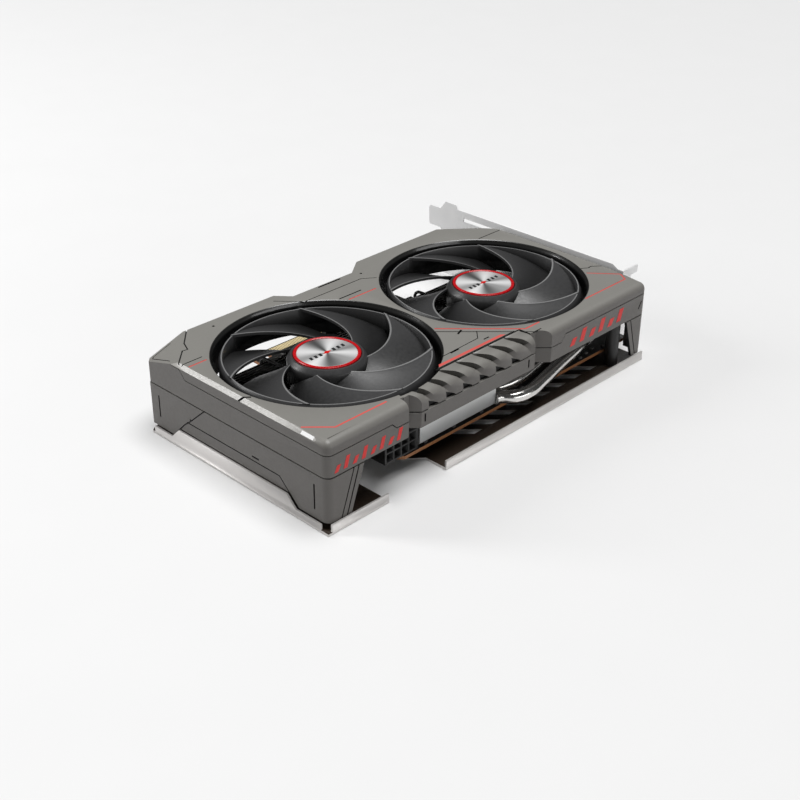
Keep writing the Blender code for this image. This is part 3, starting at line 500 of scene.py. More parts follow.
def split(item, point, normal):
    """Cuts the faces of a mesh along a plane and keeps both sides, so that a Boolean gets simpler faces."""
    solid = opened(item.data)
    everything = [*solid.verts, *solid.edges, *solid.faces]
    bmesh.ops.bisect_plane(solid, geom=everything, plane_co=at(*point), plane_no=normal)
    close(solid, item.data)


def inset(outline, distance):
    """A closed anticlockwise outline moved inwards, with its corners mitred."""
    result = []
    for index, corner in enumerate(outline):
        here = Vector(corner)
        before = here - Vector(outline[index - 1])
        after = Vector(outline[(index + 1) % len(outline)]) - here
        first = Vector((-before.y, before.x)).normalized()
        second = Vector((-after.y, after.x)).normalized()
        middle = (first + second).normalized()
        result.append(tuple(here + middle * (distance / middle.dot(first))))
    return result


def ribbon(points, width):
    """The outline of a strip of even width along a line of points."""
    left = []
    right = []
    for index, point in enumerate(points):
        here = Vector(point)
        before = here - Vector(points[max(index - 1, 0)])
        after = Vector(points[min(index + 1, len(points) - 1)]) - here
        first = (before if before.length else after).normalized()
        second = (after if after.length else before).normalized()
        along = (first + second).normalized()
        across = Vector((-along.y, along.x))
        reach = width / 2 / max(across.dot(Vector((-first.y, first.x))), 0.35)
        left.append(tuple(here + across * reach))
        right.append(tuple(here - across * reach))
    return right + left[::-1]


def arc(centre, radius, start, end, steps):
    return [
        (
            centre[0] + radius * math.cos(math.radians(start + (end - start) * index / steps)),
            centre[1] + radius * math.sin(math.radians(start + (end - start) * index / steps)),
        )
        for index in range(steps + 1)
    ]


def show(item, body, slot, *nodes):
    """Rides a finished piece on its body, in place of the CAD nodes it stands for."""
    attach(item, body)
    if nodes:
        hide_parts(*nodes)


# ---------------------------------------------------------------- cover


def cover_outline(radius=CORNER_RADIUS):
    """The cover seen from above, from the near tail corner round by the long open side."""
    notch = 4.8
    middle = 1.4
    return [
        *arc((radius, radius), radius, 180, 270, CORNER_STEPS),
        (STEP_X, 0.0), (STEP_X, notch), (46.7, notch), (50.1, middle), (MIDDLE_END, middle),
        (MIDDLE_END, notch), (122.4, notch), (127.2, 0.0),
        *arc((COVER_LENGTH - radius, radius), radius, 270, 360, CORNER_STEPS),
        (COVER_LENGTH, 88.0), (190.2, 94.3), (173.8, 108.2), (118.9, 107.4), (109.1, 100.2),
        (73.8, 100.2), (68.1, COVER_WIDTH), (2.0, COVER_WIDTH), (0.0, 104.6),
    ]


FACET_POINT = Vector((0.0, 86.1, 37.8))
FACET_NORMAL = Vector((-114.0, 100.2, 340.2)).normalized()
TAIL_BEVEL = Vector((-0.72, 0.0, 0.69))


def band_shapes(name, grow, reach, materials=None):
    """The three side panels' faces, as solids that a ring is cut with."""
    low = BAND_BOTTOM - 0.01 + (SEAM if not grow else -3.0)
    top = 0.0 if grow else SEAM
    left = [
        (-3.0, low), (STEP_X, low), (STEP_X, BAND_TOP_LOW - top), (35.5, BAND_TOP_LOW - top),
        (33.0, BAND_TOP - top), (-3.0, BAND_TOP - top),
    ]
    tail = [
        (-3.0, low), (COVER_WIDTH + 1, low), (COVER_WIDTH + 1, 36.0), (95.0, 36.5),
        (84.4, 36.5 - top), (81.0, BAND_TOP - top), (-3.0, BAND_TOP - top),
    ]
    middle = [
        (43.8, low), (MIDDLE_END, low), (MIDDLE_END, BAND_TOP_LOW - top),
        (43.8, BAND_TOP_LOW - top),
    ]
    right = [
        (119.8, low), (COVER_LENGTH + 1, low), (COVER_LENGTH + 1, BAND_TOP_RIGHT - top),
        (136.3, BAND_TOP_RIGHT - top), (133.7, BAND_TOP_LOW - top), (119.8, BAND_TOP_LOW - top),
    ]
    near = [
        plate(f"{name}_{key}", shape, -1.0, reach, materials, "Y")
        for key, shape in (("left", left), ("middle", middle), ("right", right))
    ]
    tail_piece = plate(f"{name}_tail", tail, -1.0, 12.0, materials, "X")
    return near, tail_piece


def groove(name, points, width, depth, axis="Z", face=TOP, material="seam"):
    """A cutter for a line on a flat face: the top, or the side or tail. The walls it cuts take its
    material: near-black painted shade for seams and slots.
    """
    low, high = (face - depth, face + 1.0) if axis == "Z" else (face - 1.0, face + depth)
    return coat(plate(name, ribbon(points, width), low, high, None, axis), material)


TOP_SEAMS = (
    ([(-1.0, 83.6), (8.5, 93.0), (10.8, 92.6), (13.0, 97.7), (21.5, 107.0)], 0.55),
    ([(-1.0, 83.6), (11.0, 83.6)], 0.5),
    ([(72.0, 92.7), (107.4, 92.7), (113.2, 88.6)], 0.45),
    ([(64.5, 102.5), (73.8, 92.7)], 0.45),
    ([(91.2, 34.4), (121.0, 4.6), (125.4, 4.6)], 0.55),
    ([(66.4, 10.9), (115.5, 10.9)], 0.5),
    ([(75.4, 16.4), (100.0, 17.2), (104.6, 21.8)], 0.4),
    ([(183.2, 31.8), (189.0, 28.2), (191.0, 28.6), (196.5, 24.0)], 0.5),
    ([(179.5, 86.1), (196.0, 86.1)], 0.5),
)
TOP_SLOTS = (
    ([(87.7, 99.2), (100.9, 99.2)], 0.9),
    ([(86.1, 84.1), (99.2, 84.1)], 0.7),
    ([(97.0, 25.4), (101.0, 27.0)], 0.9),
    ([(101.0, 14.8), (104.2, 14.8)], 0.7),
    ([(82.5, 16.3), (87.5, 16.5)], 1.1),
    ([(-0.5, 48.6), (3.6, 45.0)], 0.9),
    ([(30.7, 101.7), (31.7, 101.7)], 1.1),
    ([(111.0, 96.8), (112.0, 96.8)], 1.1),
)
TOP_LINES = (
    ([(1.9, 80.4), (10.7, 80.4)], 0.75),
    ([(88.6, 80.8), (105.0, 80.8)], 0.75),
    ([(94.0, 35.6), (120.5, 9.0), (129.6, 9.0)], 0.85),
    ([(161.5, 9.2), (190.6, 9.2), (193.6, 13.9), (183.7, 25.4)], 0.75),
)


# Kind, lines, depth and the material the cut walls take: near-black painted shade for the seams and slots,
# red for the printed lines.
TOP_CUTS = (
    ("seam", TOP_SEAMS, 0.6, "seam"),
    ("slot", TOP_SLOTS, 1.6, "seam"),
    ("line", TOP_LINES, 0.12, "accent"),
)


def make_cover():
    cover = plate("shroud_cover", cover_outline(), BAND_BOTTOM, TOP, ("shroud", "seam", "accent"))
    on_top = TOP - 0.01

    def near_top(a, b):
        return min(a.z, b.z) > on_top and max(a.y, b.y) < 3.3 and (a - b).length > 0.3

    round_edges(cover, TOP_EDGE_RADIUS, 8, near_top)
    slice_off(cover, (0.0, 0.0, TOP - 1.5), TAIL_BEVEL)
    slice_off(cover, FACET_POINT, FACET_NORMAL)
    cavity = plate("cavity", inset(cover_outline(0.5), WALL + SKIN + 0.2), 0.0, CEILING)
    slice_off(cavity, FACET_POINT - Vector((0, 0, 2.4)), FACET_NORMAL)
    around = [(-20, -20), (230, -20), (230, 130), (-20, 130)]
    ring = plate("ring", [around, inset(cover_outline(), WALL)], 10.0, 50.0)
    near, tail = band_shapes("recess", True, 60.0)
    recess = combine(near[0], [near[1], near[2], tail], "UNION")
    combine(recess, [ring], "INTERSECT")
    cutters = [cavity, recess]
    for fan in range(2):
        centre = (FAN_X[fan], FAN_Y)
        bore = [(0.0, 37.0), (OPENING_RADIUS, 37.0), (OPENING_RADIUS, 20.0), (0.0, 20.0)]
        cutters.append(turned(f"bore_{fan}", bore, centre, None, ROUND_STEPS))
        lip = [
            (0.0, 45.0), (LIP_RADIUS + 0.3, 45.0), (LIP_RADIUS + 0.3, TOP + 0.1),
            (LIP_RADIUS, TOP - 0.02), (LIP_RADIUS - 0.25, TOP - 0.25),
            (OPENING_RADIUS + 0.2, TOP - 1.3), (OPENING_RADIUS - 0.1, TOP - 1.9), (0.0, TOP - 1.9),
        ]
        cutters.append(coat(turned(f"mouth_{fan}", lip, centre, None, ROUND_STEPS), "lip"))
    pocket_end = MIDDLE_END + 0.2
    pocket = [(43.5, -2.0), (pocket_end, -2.0), (pocket_end, 10.6), (43.5, 10.6)]
    cutters.append(plate("rib_pocket", pocket, BAND_TOP_LOW - 0.2, TOP + 5))
    for kind, lines, depth, material in TOP_CUTS:
        for index, (points, width) in enumerate(lines):
            cutters.append(groove(f"top_{kind}_{index}", points, width, depth, material=material))
    for x in (25.0, FAN_X[0], 97.6, FAN_X[1], 170.0, 197.0):
        split(cover, (x, 0.0, 0.0), (1.0, 0.0, 0.0))
    for y in (4.6, 25.0, FAN_Y, 80.0):
        split(cover, (0.0, y, 0.0), (0.0, 1.0, 0.0))
    combine(cover, cutters)
    # The tail bevel's faces get the lighter bevel plastic: a painted highlight.
    finishes = cover.data.materials
    finishes.append(M["bevel"])
    for face in cover.data.polygons:
        if face.normal.dot(TAIL_BEVEL) > 0.995 and finishes[face.material_index] == M["shroud"]:
            face.material_index = len(finishes) - 1
    show(crisp(cover), "card", "cover_plastic", "cover")


def make_corner_line():
    """The red line by the near corner: a thin inlay that stands just proud of the cover."""
    shape = ribbon([(1.9, 15.6), (10.7, 6.9), (36.9, 6.9)], 0.85)
    line = plate("corner_line", shape, TOP - 0.05, TOP + 0.03, ("accent",))
    show(line, "card", "cover_plastic")


def make_bands():
    """The panels along the long side and the tail, with a dark seam between them and the cover: the backing
    wall seen through the gap is painted near-black as shade.
    """
    ring_outer = cover_outline()
    near, tail = band_shapes("band", False, 60.0, ("shroud", "seam", "mark"))
    skin = plate("skin", [ring_outer, inset(ring_outer, SKIN)], BAND_BOTTOM - 5, TOP)
    coat(skin, "shroud")
    pieces = dict(zip(("left", "middle", "right"), near))
    combine(pieces["left"], [tail], "UNION")
    for key, piece in pieces.items():
        piece.name = f"panel_{key}"
        copy = bpy.data.objects.new(f"skin_{key}", skin.data.copy())
        CUTTERS.objects.link(copy)
        combine(piece, [copy], "INTERSECT")
    slope = boxes("slope", [((-60.0, -60.0, 0.0), (60.0, 60.0, 30.0))])
    slope.data.transform(Matrix.Translation(-at(0, 0, 0)))
    turn = FACET_NORMAL.to_track_quat("Z", "Y").to_matrix().to_4x4()
    slope.data.transform(Matrix.Translation(at(*(FACET_POINT + Vector((0, 20, -5.885))))) @ turn)
    combine(pieces["left"], [coat(slope, "shroud")])
    bpy.data.objects.remove(skin)
    slots = {
        "left": [],
        "middle": [
            groove("slot_a", [(52.3, 25.4), (52.3, 29.0)], 0.8, 0.9, "Y", 1.4),
            groove("slot_b", [(114.4, 25.2), (114.4, 28.8)], 0.8, 0.9, "Y", 1.4),
        ],
        "right": [groove("slot_c", [(189.6, 26.8), (191.4, 30.2)], 0.7, 0.9, "Y", 0.0)],
    }
    for key, cutters in slots.items():
        if cutters:
            combine(pieces[key], cutters)
        show(crisp(pieces[key]), "card", "cover_plastic", f"side_band_{key}")


# Name, first x, pitch, count, bottom, top, width and lean of each row of bars.
MARKS = (
    ("marks_left", 3.4, 4.55, 8, 24.7, 29.6, 1.9, 1.5),
    ("marks_right", 140.0, 6.6, 6, 25.8, 31.6, 3.0, 1.9),
)


def make_marks():
    """Plain slanted bars where the real card has lettering on its two side panels."""
    for name, first_x, pitch, count, low, high, width, lean in MARKS:
        bars = []
        for index in range(count):
            start = first_x + pitch * index
            drop = 0.0 if index % 2 else (high - low) * 0.42
            shape = [
                (start, low), (start + width, low), (start + width + lean, high - drop),
                (start + lean, high - drop),
            ]
            bars.append(plate(f"{name}_{index}", shape, -0.07, 0.25, ("mark",), "Y"))
        first = bars[0]
        combine(first, bars[1:], "UNION")
        first.name = name
        show(crisp(first), "card", "red_plastic")


RIB_PITCH = 9.8
RIB_WALL_START = 60.3
RIB_SWEEP = 10.4
RIB_BOTTOM = BAND_TOP_LOW + 0.15
# One rib: shares of the wall's width, of the floor's width and of the depth, from row to row.
RIB_STEPS = (
    (-1.0, 1.0, 0.0), (-1.0, 0.7, 0.16), (-1.0, 0.4, 0.48), (-1.0, 0.15, 0.82), (-1.0, 0.0, 1.0),
    (-0.5, 0.0, 0.55), (0.0, 0.0, 0.0),
)
# The rows of the steep wall; their upper part gets the painted shade.
RIB_WALL_STEPS = (3, 4, 5)


def rib_profile():
    """Points round the ribbed bar's section as (y, z, run), the run being along its outer side."""
    points = []
    run = 0.0
    side_top = TOP - 0.3 - TOP_EDGE_RADIUS
    for index in range(7):
        z = RIB_BOTTOM + (side_top - BAND_TOP_LOW - 0.15) * index / 6
        points.append((1.4, z))
    for index in range(1, 11):
        angle = math.radians(9 * index)
        up = side_top + TOP_EDGE_RADIUS * math.sin(angle)
        points.append((1.4 + 4.6 * (1 - math.cos(angle)), up))
    for index in range(1, 7):
        points.append((6.0 + 4.3 * index / 6, TOP - 0.3))
    result = []
    for index, (y, z) in enumerate(points):
        if index:
            run += math.dist(points[index - 1], (y, z))
        result.append((y, z, run))
    return result


def smooth_step(value, start, end):
    share = min(max((value - start) / (end - start), 0.0), 1.0)
    return share * share * (3 - 2 * share)


def make_rib_bar():
    """The bar over the middle of the long side, with overlapping swept ribs; the upper part of each rib's
    steep wall is painted in shade.
    """
    section = rib_profile()
    length = section[-1][2]
    solid = bmesh.new()
    rows = []
    for rib in range(-3, 9):
        for wall_share, floor_share, depth_share in RIB_STEPS:
            row = []
            for index, (y, z, run) in enumerate(section):
                share = run / length
                wall = 2.3 - 1.7 * smooth_step(share, 0.25, 0.55)
                floor = 4.6 - 3.4 * smooth_step(share, 0.45, 1.0)
                depth = 0.35 + 1.9 * smooth_step(share, 0.0, 0.50)
                depth *= 1.0 - smooth_step(share, 0.85, 1.0)
                down = depth * depth_share
                lower = section[max(index - 1, 0)]
                upper = section[min(index + 1, len(section) - 1)]
                tangent = Vector((upper[0] - lower[0], upper[1] - lower[1])).normalized()
                x = RIB_WALL_START + RIB_PITCH * rib - RIB_SWEEP * share
                x += wall_share * wall - floor_share * floor
                row.append(solid.verts.new(at(x, y + tangent.y * down, z - tangent.x * down)))
            back = row[-1].co.copy()
            back.z = RIB_BOTTOM * MM
            row.append(solid.verts.new(back))
            rows.append(row)
    for number, (first, second) in enumerate(zip(rows, rows[1:])):
        on_wall = number % len(RIB_STEPS) in RIB_WALL_STEPS
        for index in range(len(first)):
            after = (index + 1) % len(first)
            face = solid.faces.new((first[index], first[after], second[after], second[index]))
            # Painted shade on the upper part of the steep wall.
            if on_wall and index < len(section) - 1 and section[index][2] > 0.40 * length:
                face.material_index = 1
    solid.faces.new(rows[0][::-1])
    solid.faces.new(rows[-1])
    bmesh.ops.recalc_face_normals(solid, faces=solid.faces)
    bar = item_for("rib_bar", mesh_of(solid, "rib_bar"), ("shroud", "rib_painted_shade"))
    end = 118.15
    shape = [
        (43.7, 4.95), (46.8, 4.95), (50.2, 1.5), (50.2, -3.0), (end, -3.0), (end, 10.4),
        (43.7, 10.4),
    ]
    combine(bar, [coat(plate("rib_mask", shape, 20.0, 60.0), "shroud")], "INTERSECT")
    around_fan = [(0.0, 60.0), (47.4, 60.0), (47.4, 20.0), (0.0, 20.0)]
    clear = [
        turned(f"rib_clear_{fan}", around_fan, (FAN_X[fan], FAN_Y), None, ROUND_STEPS)
        for fan in range(2)
    ]
    # The notches' cut walls take the near-black seam material: painted shade.
    notches = []
    for index in range(6):
        x = RIB_WALL_START + RIB_PITCH * index
        low = BAND_TOP_LOW - 0.2
        shape = [(x - 6.0, low), (x - 0.8, low), (x - 0.8, low + 0.8), (x - 5.8, low + 3.2)]
        notches.append(plate(f"notch_{index}", shape, -1.0, 3.0, None, "Y"))
    combine(bar, clear + notches)
    show(crisp(bar, 40), "card", "cover_plastic", "rib_strip")


def make_red_band():
    """The wide red stripe along the ribbed bar's inner edge."""
    stripe = [(70.5, 11.4), (110.6, 11.4), (108.9, 12.9), (72.0, 12.9)]
    band = plate("red_band", stripe, TOP - 0.2, TOP + 0.03, ("accent",))
    show(crisp(band), "card", "red_plastic")


# Name, points, width, depth and facing of each line in the tail wall and its near leg.
SKIRT_LINES = (
    ("tail_line", [(15.0, 2.0), (16.8, 4.4), (21.3, 8.6), (26.4, 13.4), (82.0, 13.4)], 0.5, 0.7, "X"),
    ("tail_diagonal", [(70.0, 23.2), (79.5, 14.8), (84.0, 11.2), (89.0, 6.0)], 0.5, 0.7, "X"),
    ("tail_slot_near", [(7.3, 7.6), (7.3, 18.6)], 0.75, 1.0, "X"),
    ("tail_slot_far", [(99.8, 8.6), (99.8, 18.6)], 0.75, 1.0, "X"),
    ("tail_slot_small", [(38.0, 15.2), (42.0, 15.2)], 0.7, 1.0, "X"),
    ("tail_dot", [(79.2, 15.6), (79.8, 15.0)], 1.0, 1.0, "X"),
    ("leg_line_a", [(6.4, 3.0), (13.4, 23.4)], 0.5, 0.6, "Y"),
    ("leg_line_b", [(9.2, 3.0), (15.9, 23.4)], 0.6, 0.6, "Y"),
)


def make_skirt():
    """The lower tail wall and its two legs."""
    far = COVER_WIDTH - 0.6
    radius = CORNER_RADIUS
    plan = [
        *arc((radius, radius), radius, 180, 270, CORNER_STEPS),
        (20.5, 0.0), (20.5, SKIN),
        *arc((radius, radius), radius - SKIN, 270, 180, CORNER_STEPS),
        (SKIN, far - SKIN), (18.2, far - SKIN), (18.2, far), (1.0, far), (0.0, far - 1.0),
    ]
    top = BAND_BOTTOM - SEAM / 2
    skirt = plate("skirt_shell", plan, SKIRT_BOTTOM, top, ("shroud", "seam"))
    middle = [
        (16.4, SKIRT_BOTTOM - 2), (16.4, SKIRT_BOTTOM), (21.3, SKIRT_BOTTOM_MIDDLE),
        (86.9, SKIRT_BOTTOM_MIDDLE), (91.0, SKIRT_BOTTOM), (91.0, SKIRT_BOTTOM - 2),
    ]
    slant = [(11.4, SKIRT_BOTTOM - 1), (25.0, SKIRT_BOTTOM - 1), (25.0, 23.5), (18.6, 23.5)]
    cutters = [
        plate("skirt_middle", middle, -5.0, 10.0, None, "X"),
        plate("skirt_slant", slant, -5.0, 3.0, None, "Y"),
    ]
    cutters += [
        groove(name, points, width, depth, axis, 0.0)
        for name, points, width, depth, axis in SKIRT_LINES
    ]
    combine(skirt, cutters)
    show(crisp(skirt), "card", "cover_plastic", "tail_skirt")


def make_leg():
    """The leg beside the bracket."""
    radius = CORNER_RADIUS
    centre = (COVER_LENGTH - radius, radius)
    plan = [
        (180.0, 0.0),
        *arc(centre, radius, 270, 360, CORNER_STEPS),
        (COVER_LENGTH, 9.0), (COVER_LENGTH - SKIN, 9.0),
        *arc(centre, radius - SKIN, 360, 270, CORNER_STEPS),
        (180.0, SKIN),
    ]
    leg = plate("leg_shell", plan, SKIRT_BOTTOM, BAND_BOTTOM - SEAM / 2, ("shroud", "seam"))
    slant = [(170.0, 2.0), (188.2, 2.0), (187.8, SKIRT_BOTTOM), (181.2, 23.5), (170.0, 23.5)]
    cutters = [
        plate("leg_slant", slant, -5.0, 5.0, None, "Y"),
        groove("leg_line", [(184.3, 23.4), (190.6, 3.0)], 0.5, 0.6, "Y", 0.0),
    ]
    combine(leg, cutters)
    show(crisp(leg), "card", "cover_plastic", "bracket_leg")


def make_rims():
    """A black liner inside each opening, under its lip."""
    for fan, label in enumerate(FAN_NAMES):
        outer = OPENING_RADIUS + 0.9
        section = [(OPENING_RADIUS, 30.0), (outer, 30.0), (outer, 35.9), (OPENING_RADIUS, 35.9)]
        centre = (FAN_X[fan], FAN_Y)
        liner = turned(f"inlet_liner_{label}", closed(section), centre, ("inner",), ROUND_STEPS)
        show(crisp(liner), "card", "fan_plastic")


# ---------------------------------------------------------------- fans


def blade_point(out, back, phase):
    """A point of a blade: its share of the way out, and back from the leading edge."""
    inner = HUB_RADIUS - 1.2
    outer = ROTOR_RADIUS - 0.9
    radius = inner + (outer - inner) * out
    sweep = 60.0 * out**0.82
    chord = 50.0 * (0.92 + 0.10 * out)
    angle = math.radians(phase + sweep - chord * back)
    leading = HUB_TOP - 1.5 + 2.2 * out**2
    drop = (8.0 - 0.5 * out) * back**1.15
    return Vector((radius * math.cos(angle), radius * math.sin(angle), leading - drop)) * MM


def border(sheet):
    """The points round a sheet's rim, in order."""
    return [
        *[row[0] for row in sheet],
        *sheet[-1][1:],
        *[row[-1] for row in sheet[-2::-1]],
        *sheet[0][-2:0:-1],
    ]


def make_blade(name, phase):
    """One swept blade; its first strip, along the leading edge, has a painted highlight: a lighter grey
    standing for the light the edge catches.
    """
    spans = 22
    backs = [0.0, 0.035, *[0.018 + 0.982 * step / 13 for step in range(1, 14)]]
    chords = len(backs) - 1
    thickness = 1.25
    solid = bmesh.new()
    sheets = []
    for side in (0, 1):
        sheet = []
        for i in range(spans + 1):
            row = []
            for j in range(chords + 1):
                point = blade_point(i / spans, backs[j], phase)
                lower_by = side * thickness + (0.03 if j == 0 and side == 0 else 0.0)
                row.append(solid.verts.new(point - Vector((0, 0, lower_by * MM))))
            sheet.append(row)
        sheets.append(sheet)
    upper, lower = sheets
    for i in range(spans):
        for j in range(chords):
            face = solid.faces.new((upper[i][j], upper[i + 1][j], upper[i + 1][j + 1], upper[i][j + 1]))
            face.material_index = 1 if j == 0 else 0
            solid.faces.new((lower[i][j], lower[i][j + 1], lower[i + 1][j + 1], lower[i + 1][j]))
    edge_upper, edge_lower = border(upper), border(lower)
    count = len(edge_upper)
    for index in range(count):
        after = (index + 1) % count
        solid.faces.new((edge_upper[index], edge_lower[index], edge_lower[after], edge_upper[after]))
    bmesh.ops.recalc_face_normals(solid, faces=solid.faces)
    return coat(item_for(name, mesh_of(solid, name)), "fan", "edge_highlight")


def make_rotor(fan):
    label = FAN_NAMES[fan]
    body = f"fan_{label}"
    centre = (FAN_X[fan], FAN_Y)
    recess = HUB_TOP - 1.6
    hub = [
        (0.0, recess), (CAP_RING_RADIUS + 0.25, recess), (CAP_RING_RADIUS + 0.25, HUB_TOP - 0.1),
        (CAP_RING_RADIUS + 0.5, HUB_TOP + 0.1), (CAP_RING_RADIUS + 1.1, HUB_TOP),
        (HUB_RADIUS - 0.5, HUB_TOP - 1.4), (HUB_RADIUS, HUB_TOP - 2.2), (HUB_RADIUS, 24.6),
        (HUB_RADIUS - 0.2, 24.4), (HUB_RADIUS - 2.2, 24.4), (HUB_RADIUS - 2.2, recess - 2.2),
        (1.5, recess - 2.2), (1.5, 23.2), (0.0, 23.2),
    ]
    rotor = turned(f"fan_rotor_{label}", hub, centre, ("fan",), 96)
    ring = closed(
        [
            (ROTOR_RADIUS - 1.55, 36.9), (ROTOR_RADIUS - 1.05, 36.9), (ROTOR_RADIUS - 0.5, 36.2),
            (ROTOR_RADIUS, 35.2), (ROTOR_RADIUS, 29.5), (ROTOR_RADIUS - 1.7, 29.5),
            (ROTOR_RADIUS - 1.7, 36.6),
        ]
    )
    pieces = [turned(f"ring_{label}", ring, centre, ("fan", "edge_highlight"), ROUND_STEPS)]
    # The ring's top faces get the painted highlight grey.
    for face in pieces[0].data.polygons:
        if face.normal.z > 0.9:
            face.material_index = 1
    for index in range(BLADES):
        blade = make_blade(f"blade_{label}_{index}", FAN_PHASE[fan] + 360.0 / BLADES * index)
        blade.location = at(*centre, 0.0)
        pieces.append(blade)
    combine(rotor, pieces, "UNION")
    show(crisp(rotor, 40), body, "fan_plastic", f"rotor_{label}")

    cap = [
        (0.0, HUB_TOP + 0.35), (1.0, HUB_TOP + 0.35), (CAP_RADIUS * 0.5, HUB_TOP + 0.42),
        (CAP_RADIUS - 0.5, HUB_TOP + 0.45), (CAP_RADIUS, HUB_TOP + 0.2), (CAP_RADIUS, recess + 0.3),
        (0.0, recess + 0.3),
    ]
    disc = turned(f"cap_disc_{label}", cap, centre, ("cap",), CAP_STEPS)
    show(crisp(disc), body, "spun_metal", f"hub_cap_{label}")

    lip = closed(
        [
            (CAP_RADIUS + 0.1, HUB_TOP + 0.4), (CAP_RADIUS + 0.4, HUB_TOP + 0.6),
            (CAP_RING_RADIUS - 0.3, HUB_TOP + 0.55), (CAP_RING_RADIUS, HUB_TOP + 0.25),
            (CAP_RING_RADIUS, recess + 0.3), (CAP_RADIUS + 0.1, recess + 0.3),
        ]
    )
    band = turned(f"cap_ring_{label}", lip, centre, ("ring",), CAP_STEPS)
    show(crisp(band), body, "red_plastic", f"hub_ring_{label}")
    make_cap_marks(fan, body)


def make_cap_marks(fan, body):
    """Plain dark dashes each side of a red lozenge, on the cap."""
    label = FAN_NAMES[fan]
    centre = Vector((FAN_X[fan], FAN_Y))
    low = HUB_TOP + 0.3
    high = HUB_TOP + 0.5
    dashes = []
    for side in (-1, 1):
        for index in range(3):
            x = centre.x + side * (3.6 + 2.5 * index)
            shape = [
                (x - 0.8, centre.y - 1.0), (x + 0.5, centre.y - 1.0), (x + 0.9, centre.y + 1.0),
                (x - 0.4, centre.y + 1.0),
            ]
            dashes.append(plate(f"dash_{label}_{side}_{index}", shape, low, high, ("ink",)))
    first = dashes[0]
    combine(first, dashes[1:], "UNION")
    first.name = f"cap_dashes_{label}"
    show(crisp(first), body, "black_plastic")
    shape = [
        (centre.x - 2.0, centre.y), (centre.x, centre.y - 1.0), (centre.x + 2.0, centre.y),
        (centre.x, centre.y + 1.0),
    ]
    lozenge = plate(f"cap_lozenge_{label}", shape, low, high, ("mark",))
    show(crisp(lozenge), body, "red_plastic")


# ---------------------------------------------------------------- metal and board


def refined(node, name, slot, materials, width, pick=None):
    """A copy of a CAD node with its edges broken, and its finish chosen face by face."""
    solid = opened(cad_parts[node].data)
    bmesh.ops.remove_doubles(solid, verts=solid.verts, dist=2e-6)
    bmesh.ops.dissolve_limit(solid, angle_limit=0.03, verts=solid.verts, edges=solid.edges)
    sharp = [e for e in solid.edges if len(e.link_faces) == 2 and e.calc_face_angle() > 0.6]
    bmesh.ops.bevel(
        solid, geom=sharp, offset=width * MM, segments=1, affect="EDGES", clamp_overlap=True
    )
    if pick:
        for face in solid.faces:
            place = face.calc_center_median() / MM + Vector((MID_X, MID_Y, 0))
            face.material_index = pick(face.normal, place)
    item = item_for(name, mesh_of(solid, name), materials)
    show(crisp(item), "card", slot, node)


def make_metalwork():
    """The outside metal, the sockets and the screws: CAD shapes with broken edges."""

    def tray_side(normal, place):
        inside = place.z < 1.3 and normal.z > 0.9
        post = normal.z < 0.5 and 1.0 < place.z < 5.9 and 5.0 < place.y < 100.0 and place.x > 5.0
        return 1 if inside or post else 0

    refined("backplate", "tray", "silver_metal", ("silver", "tray"), 0.16, tray_side)
    refined("bracket", "slot_bracket", "bracket_steel", ("steel",), 0.16)
    refined("power_socket", "supply_socket", "black_plastic", ("black",), 0.12)
    refined("cover_post", "post", "black_plastic", ("black",), 0.3)
    for index in range(1, 5):
        refined(f"port_{index}", f"outlet_{index}", "connector_steel", ("plated",), 0.08)
        refined(f"gpu_screw_{index}", f"cooler_screw_{index}", "connector_steel", ("plated",), 0.08)


PAD_WIDTH = 0.7


def make_board():
    """The board with its bare edges, contact pads on both faces, and rows of small parts."""

    def board_side(normal, place):
        return 1 if abs(normal.z) < 0.5 else 0

    refined("circuit_board", "board", "board", ("board", "board_edge"), 0.05, board_side)
    pads = []
    for index in range(82):
        x = 68.4 + 1.0 + index * 1.0
        in_key_notch = 139.0 < x + PAD_WIDTH / 2 < 142.6
        if not in_key_notch:
            for low, high in ((BOARD_TOP, BOARD_TOP + 0.12), (BOARD_BOTTOM - 0.12, BOARD_BOTTOM)):
                pads.append(((x, 111.3, low), (x + PAD_WIDTH, 115.6, high)))
    fingers = boxes("edge_contacts", pads, ("gold",))
    show(fingers, "card", "copper")
    crumbs = []
    for index in range(26):
        x = 72.0 + 3.1 * index
        y = 103.6 + 1.1 * (index % 2)
        crumbs.append(((x, 106.6, BOARD_TOP), (x + 0.9, 108.2, 8.1)))
        crumbs.append(((x + 1.2, y, BOARD_TOP), (x + 2.4, 104.3 + 1.1 * (index % 2), 8.0)))
    for index in range(22):
        x = 62.0 + 5.6 * index
        y = 10.4 + 0.9 * (index % 3)
        crumbs.append(((x, y, BOARD_TOP), (x + 1.7, 11.4 + 0.9 * (index % 3), 8.3)))
    passives = boxes("small_passives", crumbs, ("ferrite",))
    show(passives, "card", "choke_grey")


def make_bevel_insert():
    """The small pale insert in the tail bevel."""
    shape = [(0.2, 36.81), (1.2, 37.85), (1.1, 37.95), (0.1, 36.91)]
    insert = plate("bevel_insert", shape, 7.4, 13.9, ("insert",), "Y")
    show(crisp(insert), "card", "cover_plastic")


